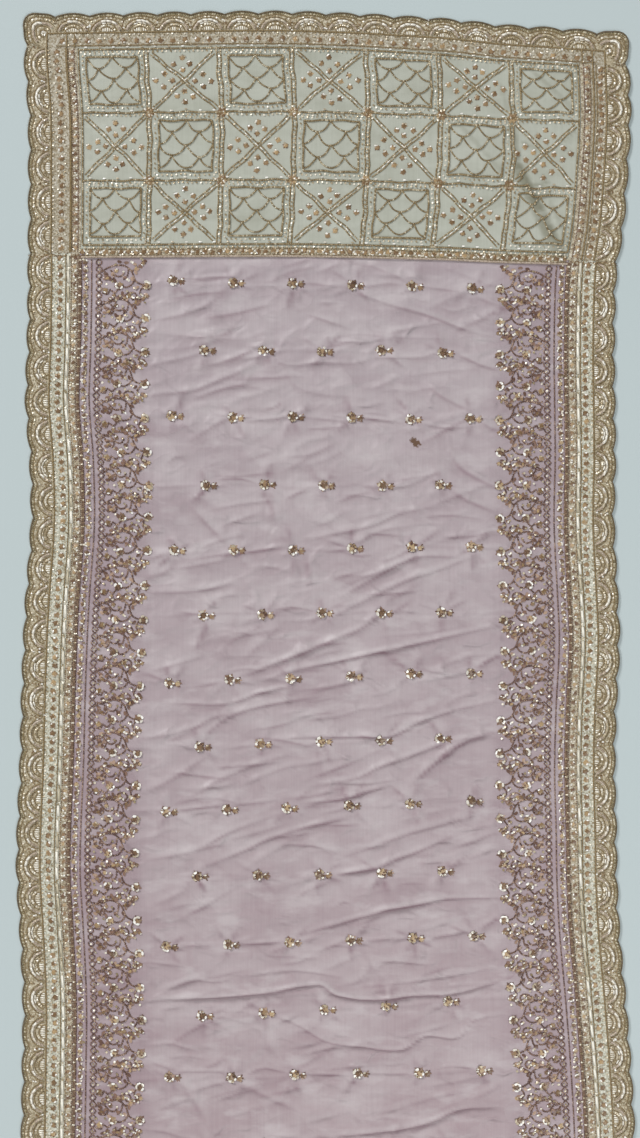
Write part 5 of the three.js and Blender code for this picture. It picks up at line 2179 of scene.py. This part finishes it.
@dataclass
class Pallu(Handiwork):
    """The cream panel at the end of the saree, ruled in seven by three squares."""

    left_lace: float = 101.0
    right_lace: float = 96.0
    top: float = PALLU_TOP
    rules_across: tuple[float, ...] = (0.0, 0.137, 0.282, 0.427, 0.575, 0.72, 0.863, 1.0)
    rules_down: tuple[float, ...] = (70.0, 192.0, 321.0, 443.0)
    step: float = 6.0

    def x_at(self, share: Array | float, down: Array | float) -> Array:
        """x at a share of the way across the panel."""
        left, right = PLAN.span(np.asarray(down, float), self.left_lace + GAP, self.right_lace + GAP)
        return left + (right - left) * share

    @staticmethod
    def along(fold: PalluFold, x: Array, down: Array) -> tuple[Array, Array]:
        """How far along a fold each point is, from 0 to 1, and how far from its line.

        Args:
            fold: The fold.
            x: Across the cloth.
            down: Down the cloth.

        Returns:
            How far along the fold each point lies, from 0 to 1, and how far from its line.
        """
        dx, dd = fold.to_x - fold.x, fold.to_down - fold.down
        t = np.clip(((x - fold.x) * dx + (down - fold.down) * dd) / (dx * dx + dd * dd), 0, 1)
        return t, np.hypot(x - fold.x - t * dx, down - fold.down - t * dd)

    def shade(self, x: Array, down: float) -> Array:
        """How dark the net looks along its folds, where it lies double and with painted shadow.

        Args:
            x: Across the cloth.
            down: Down the cloth.

        Returns:
            How dark each place is, from 0 to 1.
        """
        dark = np.zeros(len(x))
        for fold in PALLU_FOLDS:
            _, far = self.along(fold, x, down)
            dark = np.maximum(dark, fold.dark * (1 - smooth_step(fold.wide * 0.45, fold.wide * 1.25, far)))
        return dark

    def surface(self, x: Array, down: Array) -> Array:
        """How high the panel lies: flat, but for a rumple in its last squares and low waves.

        Args:
            x: Across the cloth.
            down: Down the cloth.

        Returns:
            The height of each place.
        """
        x, down = np.broadcast_arrays(np.asarray(x, float), np.asarray(down, float))
        rise = 0.25 + 0.2 * np.sin(x / 37 + down / 53) + 0.15 * np.sin(x / 21 - down / 31)
        for fold in PALLU_FOLDS:
            t, far = self.along(fold, x, down)
            rise = rise + fold.high * np.sin(math.pi * np.clip(t, 0.12, 0.88)) * np.exp(-((far / 5) ** 2))
        edge = smooth_step(self.top, self.top + 12, down) * smooth_step(-SEAM_AT, 14 - SEAM_AT, -down)
        side = smooth_step(0, 14, x - self.x_at(0, down)) * smooth_step(0, 14, self.x_at(1, down) - x)
        return PALLU_WALL + rise * edge * side

    def build(self) -> Piece:
        """The panel's cloth, closed over a flat underside.

        Returns:
            The panel as one object.
        """
        downs = np.linspace(self.top + GAP / 2, SEAM_AT - GAP / 2, int(390 / self.step))
        downs = np.sort([*downs, downs[0] + RIM, downs[-1] - RIM])
        shares = np.linspace(0, 1, int(955 / self.step))
        shares = np.sort([*shares, RIM / 950, 1 - RIM / 950])
        upper, creases = [], []
        for down in downs:
            x = self.x_at(shares, down)
            z = self.surface(x, down)
            upper.append(PLAN.place(x, down, z))
            creases.append(self.shade(x, down))
        lower = [PLAN.place(self.x_at(shares[::8], down), down, 0) for down in downs[[0, 16, 32, 48, -1]]]
        return closed_cloth("pallu_cloth", upper, lower, [CREAM_NET], crease=np.concatenate(creases))

    def spot(self, column: int, row: int, p: Array | float, q: Array | float) -> Line:
        """x and down of a place in a square, p across it and q down it.

        Args:
            column: The square's column.
            row: The square's row.
            p: How far across the square, from 0 to 1.
            q: How far down it, from 0 to 1.

        Returns:
            The place on the cloth.
        """
        p, q = np.broadcast_arrays(np.asarray(p, float), np.asarray(q, float))
        (left, right), (top, foot) = self.rules_across[column : column + 2], self.rules_down[row : row + 2]
        down = top + (foot - top) * q
        return self.x_at(left + (right - left) * p, down), down

    def run(self, column: int, row: int, start: tuple[float, float], end: tuple[float, float],
            count: int = 9) -> Line:
        """A straight line in a square between two places in it."""
        return self.spot(column, row, *np.linspace(start, end, count).T)

    def frame(self, column: int, row: int, left: float, right: float, top: float, foot: float) -> list[Line]:
        """The four sides of a frame in a square.

        Args:
            column: The square's column.
            row: The square's row.
            left: Its left side, as a share of the square.
            right: Its right side.
            top: Its top.
            foot: Its foot.

        Returns:
            The line of each side.
        """
        corners = ((left, top), (right, top), (right, foot), (left, foot))
        return [self.run(column, row, corner, corners[(k + 1) % 4]) for k, corner in enumerate(corners)]

    def rules(self) -> None:
        """The ruled lines, and a knot where they cross."""
        for share in self.rules_across[1:-1]:
            down = np.linspace(self.rules_down[0] - 3, self.rules_down[-1], 24)
            x = self.x_at(share, down)
            for off, slant in ((-3.8, 0.7), (3.8, -0.7)):
                self.couch(Thread.BRONZE, (x + off, down))
                self.beads(Bit.LADDER, (x + off, down), 3.6, (5.0, 3.8, 2.0), slant)
            self.beads(Bit.SEQUIN, (x, down), 7.5, (4.2, 4.2, 4), lift=1.2)
        for share in (0.003, 0.997):
            down = np.linspace(self.rules_down[0] - 3, self.rules_down[-1], 24)
            self.couch(Thread.HEAVY, (self.x_at(share, down), down))
            self.beads(Bit.LADDER, (self.x_at(share, down), down), 3.6, (5.0, 3.8, 2.2), 0.7, 1.6)
        for down in self.rules_down:
            shares = np.linspace(0.004, 0.996, 60)
            x = self.x_at(shares, down)
            self.couch(Thread.HEAVY, (x, np.full(60, down)))
            self.beads(Bit.LADDER, (x, np.full(60, down)), 3.6, (5.2, 4.2, 2.2), 0.7, 1.6)
            self.beads(Bit.SEQUIN, (x, np.full(60, down + 4.8)), 8.5, (4.4, 4.4, 4), lift=1.2)
            self.beads(Bit.PETAL, (x, np.full(60, down - 4.6)), 26.0, (6.2, 3.2, 5), lift=1.2)
        for share in self.rules_across[1:-1]:
            for down in self.rules_down[1:-1]:
                x = float(self.x_at(share, down))
                spin = np.arange(6) * math.tau / 6 + self.chance.uniform(0, 1)
                self.flowers(*around(x, down, 6.0, spin), 5.0, Bit.AMBER_BLOOM, 0)
                self.flowers(x, down, 6.0, Bit.AMBER_BLOOM, 1)
                self.lay(Bit.SEQUIN, *around(x, down, 12, spin), (4.2, 4.2, 4), 0.0, 1.4)

    def scale_square(self, column: int, row: int) -> None:
        """A square of scales inside a corded frame.

        Args:
            column: The square's column.
            row: The square's row.
        """
        left, right, top, foot, out = 0.13, 0.88, 0.12, 0.87, 0.05
        for line in self.frame(column, row, left, right, top, foot):
            self.couch(Thread.HEAVY, line)
            self.beads(Bit.LADDER, line, 3.4, (5.6, 4.4, 2.2), 0.8, 1.6)
        for line in self.frame(column, row, left - out, right + out, top - out, foot + out):
            self.beads(Bit.SEQUIN, line, 9.0, (4.2, 4.2, 4), lift=1.2)
        wide, deep = (right - left) / 2, (foot - top) / 4.25
        for level in range(4):
            offset = 0.5 if level % 2 else 0.0
            for k in range(3 if level % 2 else 2):
                middle = left + wide * (k + 0.5 - offset)
                t = np.linspace(-1, 1, 13)
                p = middle + t * wide / 2
                inside = (p >= left - 1e-6) & (p <= right + 1e-6)
                sag = deep * (1 + self.chance.normal(0, 0.05))
                q = top + deep * level + sag * (1 - np.abs(t) ** 2.1)
                line = self.spot(column, row, p[inside], q[inside])
                self.couch(Thread.BRONZE, line)
                self.beads(Bit.LADDER, line, 3.4, (5.0, 3.8, 2.0), 0.6, 1.2)

    def cross_square(self, column: int, row: int) -> None:
        """A square with a cross of bugles and four clusters of four dots.

        Args:
            column: The square's column.
            row: The square's row.
        """
        for a, b in (((0.07, 0.07), (0.93, 0.93)), ((0.93, 0.07), (0.07, 0.93))):
            x, down = self.run(column, row, a, b, 25)
            run, drop = x[-1] - x[0], down[-1] - down[0]
            long = math.hypot(run, drop)
            for off in (-3.0, 3.0):
                side = (x - off * drop / long, down + off * run / long)
                self.couch(Thread.BRONZE, side)
                self.beads(Bit.LADDER, side, 3.8, (4.8, 3.4, 2.0), 0.5 * math.copysign(1, off))
            for start in np.arange(1, 23, 2):
                if self.chance.random() < 0.6:
                    self.rod(Bit.BUGLE, (x[start], down[start]), (x[start + 1], down[start + 1]), 2.6, 2.4)
                else:
                    self.lay(Bit.SEQUIN, x[start], down[start], (4.4, 4.4, 4), 0.0, 1.6)
        shifts = np.array([(0, -11.5), (0, 11.5), (-15, 0), (15, 0)], float)
        for p, q in ((0.5, 0.24), (0.5, 0.76), (0.235, 0.5), (0.765, 0.5)):
            x, down = (float(part) for part in self.spot(column, row, p, q))
            spots = shifts + self.chance.normal(0, 0.8, (4, 2))
            self.flowers(x + spots[:, 0], down + spots[:, 1], 6.0, Bit.AMBER_BLOOM, 1, 1.9)
            spin = self.chance.normal(2.2, 0.9, 4)
            places = around(x + spots[:, 0], down + spots[:, 1], 5, spin)
            self.lay(Bit.PETAL, *places, (4.4, 3.4, 5), 0.4, 1.8)

    def drift(self, x: Array, down: Array) -> Line:
        """Where a stitch ends up: lines wander, and are drawn in at the rumple.

        Args:
            x: Across the cloth.
            down: Down the cloth.

        Returns:
            The place that the stitch ends up at.
        """
        inside = smooth_step(0, 30, x - self.x_at(0, down)) * smooth_step(0, 30, self.x_at(1, down) - x)
        inside = inside * smooth_step(self.rules_down[0], 95, down) * smooth_step(-435, -410, -down)
        off = x - np.interp(down, (200, 285, 359, 456), (352, 364, 402, 446))
        pinch = 6.5 * np.tanh(off / 8) * np.exp(-((off / 30) ** 2)) * smooth_step(190, 260, down)
        wave = 0.8 * np.sin(x / 19 + down / 13) + 0.8 * np.sin(down / 7 - x / 31)
        rise = 0.8 * np.sin(x / 14 - down / 23) + 0.8 * np.sin(x / 7 + down / 17) + 0.5 * pinch
        return x + (wave - pinch) * inside, down + rise * inside

    def embroidery(self) -> Piece:
        """Everything that is sewn on the panel.

        Returns:
            All of it as one object.
        """
        self.begin(SEED + 3)
        self.rules()
        for row in range(3):
            for column in range(7):
                if (row + column) % 2 == 0:
                    self.scale_square(column, row)
                else:
                    self.cross_square(column, row)
        return self.sew("pallu_embroidery")

    def dress(self) -> list[Piece]:
        return declare(self.build(), "pallu_panel", (0.95, 0.393), [self.embroidery()])


# ---- braid and cords -------------------------------------------------------------------


@dataclass
class SeamBraid(Handiwork):
    """The beaded braid over the seam between the pallu and the net."""

    half: float = 9.0
    foot: float = 1.7
    edge_high: float = 2.4
    crown: float = 3.2
    inset_left: float = 110.0
    inset_right: float = 105.0

    def surface(self, x: Array, down: Array) -> Array:
        """The braid's crowned face.

        Args:
            x: Across the cloth.
            down: Down the cloth.

        Returns:
            The height of each place.
        """
        share = np.clip(np.abs(down - SEAM_AT) / self.half, 0, 1)
        left, right = PLAN.span(down, self.inset_left, self.inset_right)
        past = (x < left) | (x > right)
        return np.where(past, self.foot, self.crown - (self.crown - self.edge_high) * share**2)

    def dress(self) -> list[Piece]:
        """Returns:
            The pieces.
        """
        start, end = (float(x) for x in PLAN.span(np.array(SEAM_AT), self.inset_left, self.inset_right))
        x = np.linspace(start, end, 120)
        upper = []
        for off in (-9, -6, -3, 0, 3, 6, 9):
            rise = (self.crown - self.edge_high) * (off / self.half) ** 2
            upper.append(PLAN.place(x, SEAM_AT + off, self.crown - rise))
        lower = [PLAN.place(x, SEAM_AT + off, self.foot) for off in (-9, 9)]
        ground = closed_cloth("seam_braid_ground", upper, lower, [BEADED_STRIP])
        return declare(ground, "pallu_seam_braid", (0.907, 0.018), [self.beading(start, end)])

    def beading(self, start: float, end: float) -> Piece:
        """Bead flowers, sequins and the bright cord below them.

        Args:
            start: Where it starts.
            end: Where it ends.

        Returns:
            All of it as one object.
        """
        self.begin(SEED + 4)
        x = np.linspace(start - 8, end + 8, 124)
        self.beads(Bit.LADDER, (x, np.full(124, SEAM_AT - 7.0)), 3.6, (4.4, 2.8, 2.0), 0.7)
        self.couch(Thread.SATIN, (x, np.full(124, SEAM_AT + 8.0)))
        self.beads(Bit.LADDER, (x, np.full(124, SEAM_AT + 4.8)), 3.6, (4.4, 2.6, 2.0), -0.7)
        places = np.arange(start - 5, end + 6, 14.5)
        off = self.chance.normal(0, 1.0, len(places))
        self.flowers(places, SEAM_AT - 1 + off, 5.8, Bit.AMBER_BLOOM, 1)
        for _ in range(2):
            spin = self.chance.uniform(0, math.tau, len(places))
            x, down = places + 7 * np.cos(spin), SEAM_AT - 1 - 5.5 * np.sin(spin)
            self.lay(Bit.SEQUIN, x, down, (4, 4, 4), 0.0, 1.8)
        self.lay(Bit.PETAL, places + 7.2, SEAM_AT - 1.0, (4.6, 3.2, 5), 0.6, 1.4)
        return self.sew("seam_braid_beads")


@dataclass
class EdgingCord(Handiwork):
    """The twin cord over the seam between the net and one side's lace."""

    side: Side
    lace: float
    start: float = 460.0
    end: float = 5480.0
    apart: float = 1.15
    strand: float = 2.4
    foot: float = 1.8

    def surface(self, x: Array, down: Array) -> Array:
        """The seam that the strands lie on."""
        return np.full(np.shape(x), self.foot + 0.1)

    def dress(self) -> list[Piece]:
        """Returns:
            The one piece.
        """
        self.begin(SEED)
        for start, end, coarse in ((self.start, SHOWN_TO, 1.0), (SHOWN_TO, self.end, COARSE)):
            down = np.arange(start + 3, end - 3, 12.0 * coarse)
            for off, slant in ((-self.apart, 0.55), (self.apart, -0.55)):
                line = (PLAN.inside(self.side, down, self.lace) + off, down)
                size = (6.6 * coarse, self.strand + 0.4, 1.7)
                self.beads(Bit.TWIST, line, 4.4 * coarse, size, slant / coarse)
                self.couch(Thread.DARK, line)
                self.beads(Bit.SEQUIN, line, 17.0 * coarse, (3.4, 3.4, 4), lift=2.2)
        cord = self.sew(f"edging_cord_{self.side.value}_strands")
        return declare(cord, f"edging_cord_{self.side.value}")


# ---- studio ----------------------------------------------------------------------------


@dataclass
class Studio:
    """A pale floor, soft light and the camera, straight above the pallu end."""

    centre_x: float = -0.0114
    centre_y: float = 1.690
    shown_high: float = 2.162
    camera_high: float = 3.0
    sensor: float = 36.0
    floor_half: float = 30.0

    def build(self) -> None:
        """Set the camera, the floor and the lights up."""
        for step in (self.camera, self.floor, self.lights):
            step()

    def camera(self) -> None:
        """Hang the camera over the cloth, looking straight down."""
        data = bpy.data.cameras.new("camera")
        data.sensor_width = self.sensor
        data.lens = self.sensor * self.camera_high / self.shown_high
        camera = in_scene("camera", data)
        camera.location = (self.centre_x, self.centre_y, self.camera_high)
        bpy.context.scene.camera = camera

    def floor(self) -> None:
        """Lay a plain floor just under the cloth."""
        half, z = self.floor_half, -0.0006
        mesh = bpy.data.meshes.new("floor")
        corners = [(-half, -half, z), (half, -half, z), (half, half, z), (-half, half, z)]
        mesh.from_pydata(corners, [], [(0, 1, 2, 3)])
        mesh.materials.append(Finish("pale blue grey paper", 0xBFCACB, roughness=0.8, specular=0.2).make())
        in_scene("floor", mesh)

    def lights(self) -> None:
        """A low key from the upper left, a wide soft fill above, and a pale room."""
        for name, place, size, power in (
            ("key", (-8.4, 10.4, 6.8), 3.6, 1500), ("fill", (3.0, -2.0, 6.0), 5.0, 314),
            ("far", (-3.0, -6.0, 4.5), 3.5, 60),
        ):
            data = bpy.data.lights.new(name, "AREA")
            data.size, data.energy = size, power
            light = in_scene(name, data)
            light.location = place
            aim = np.array([0.0, 1.6 if name != "far" else -1.2, 0.0]) - np.array(place)
            steep = math.acos(-aim[2] / np.linalg.norm(aim))
            light.rotation_euler = (steep, 0, math.atan2(aim[1], aim[0]) - math.pi / 2)
        world = bpy.data.worlds.new("room")
        world.use_nodes = True
        world.node_tree.nodes["Background"].inputs[0].default_value = colour(0xD6DCDD)
        world.node_tree.nodes["Background"].inputs[1].default_value = 0.3
        bpy.context.scene.world = world
        bpy.context.scene.view_settings.view_transform = "Standard"


# ---- the whole saree -------------------------------------------------------------------


def main() -> None:
    """Build the saree piece by piece."""
    logging.basicConfig(level=logging.INFO, format="%(message)s")
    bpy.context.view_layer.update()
    Studio().build()
    pallu, body = (PALLU_TOP + GAP / 2, SEAM_AT - GAP / 2), (SEAM_AT + GAP / 2, LENGTH)
    left, right = Side
    parts = (
        NetBody(), Pallu(),
        SideLace("body_lace_left", *body, 80, side=left),
        SideLace("body_lace_right", *body, 81, side=right),
        SideLace("pallu_lace_left", *pallu, 6, side=left),
        SideLace("pallu_lace_right", *pallu, 6, side=right),
        EndLace("pallu_lace_top", EDGE[0].left + CORNER_INSET, EDGE[0].right - CORNER_INSET, 16),
        SeamBraid(), EdgingCord(left, 100.0), EdgingCord(right, 94.0),
    )
    total = 0
    for part in parts:
        for piece in part.dress():
            faces = sum(len(face.vertices) - 2 for face in piece.data.polygons)
            total += faces
            log.info("%s: %d triangles", piece.name, faces)
    log.info("all: %d triangles", total)


if __name__ == "__main__":
    main()
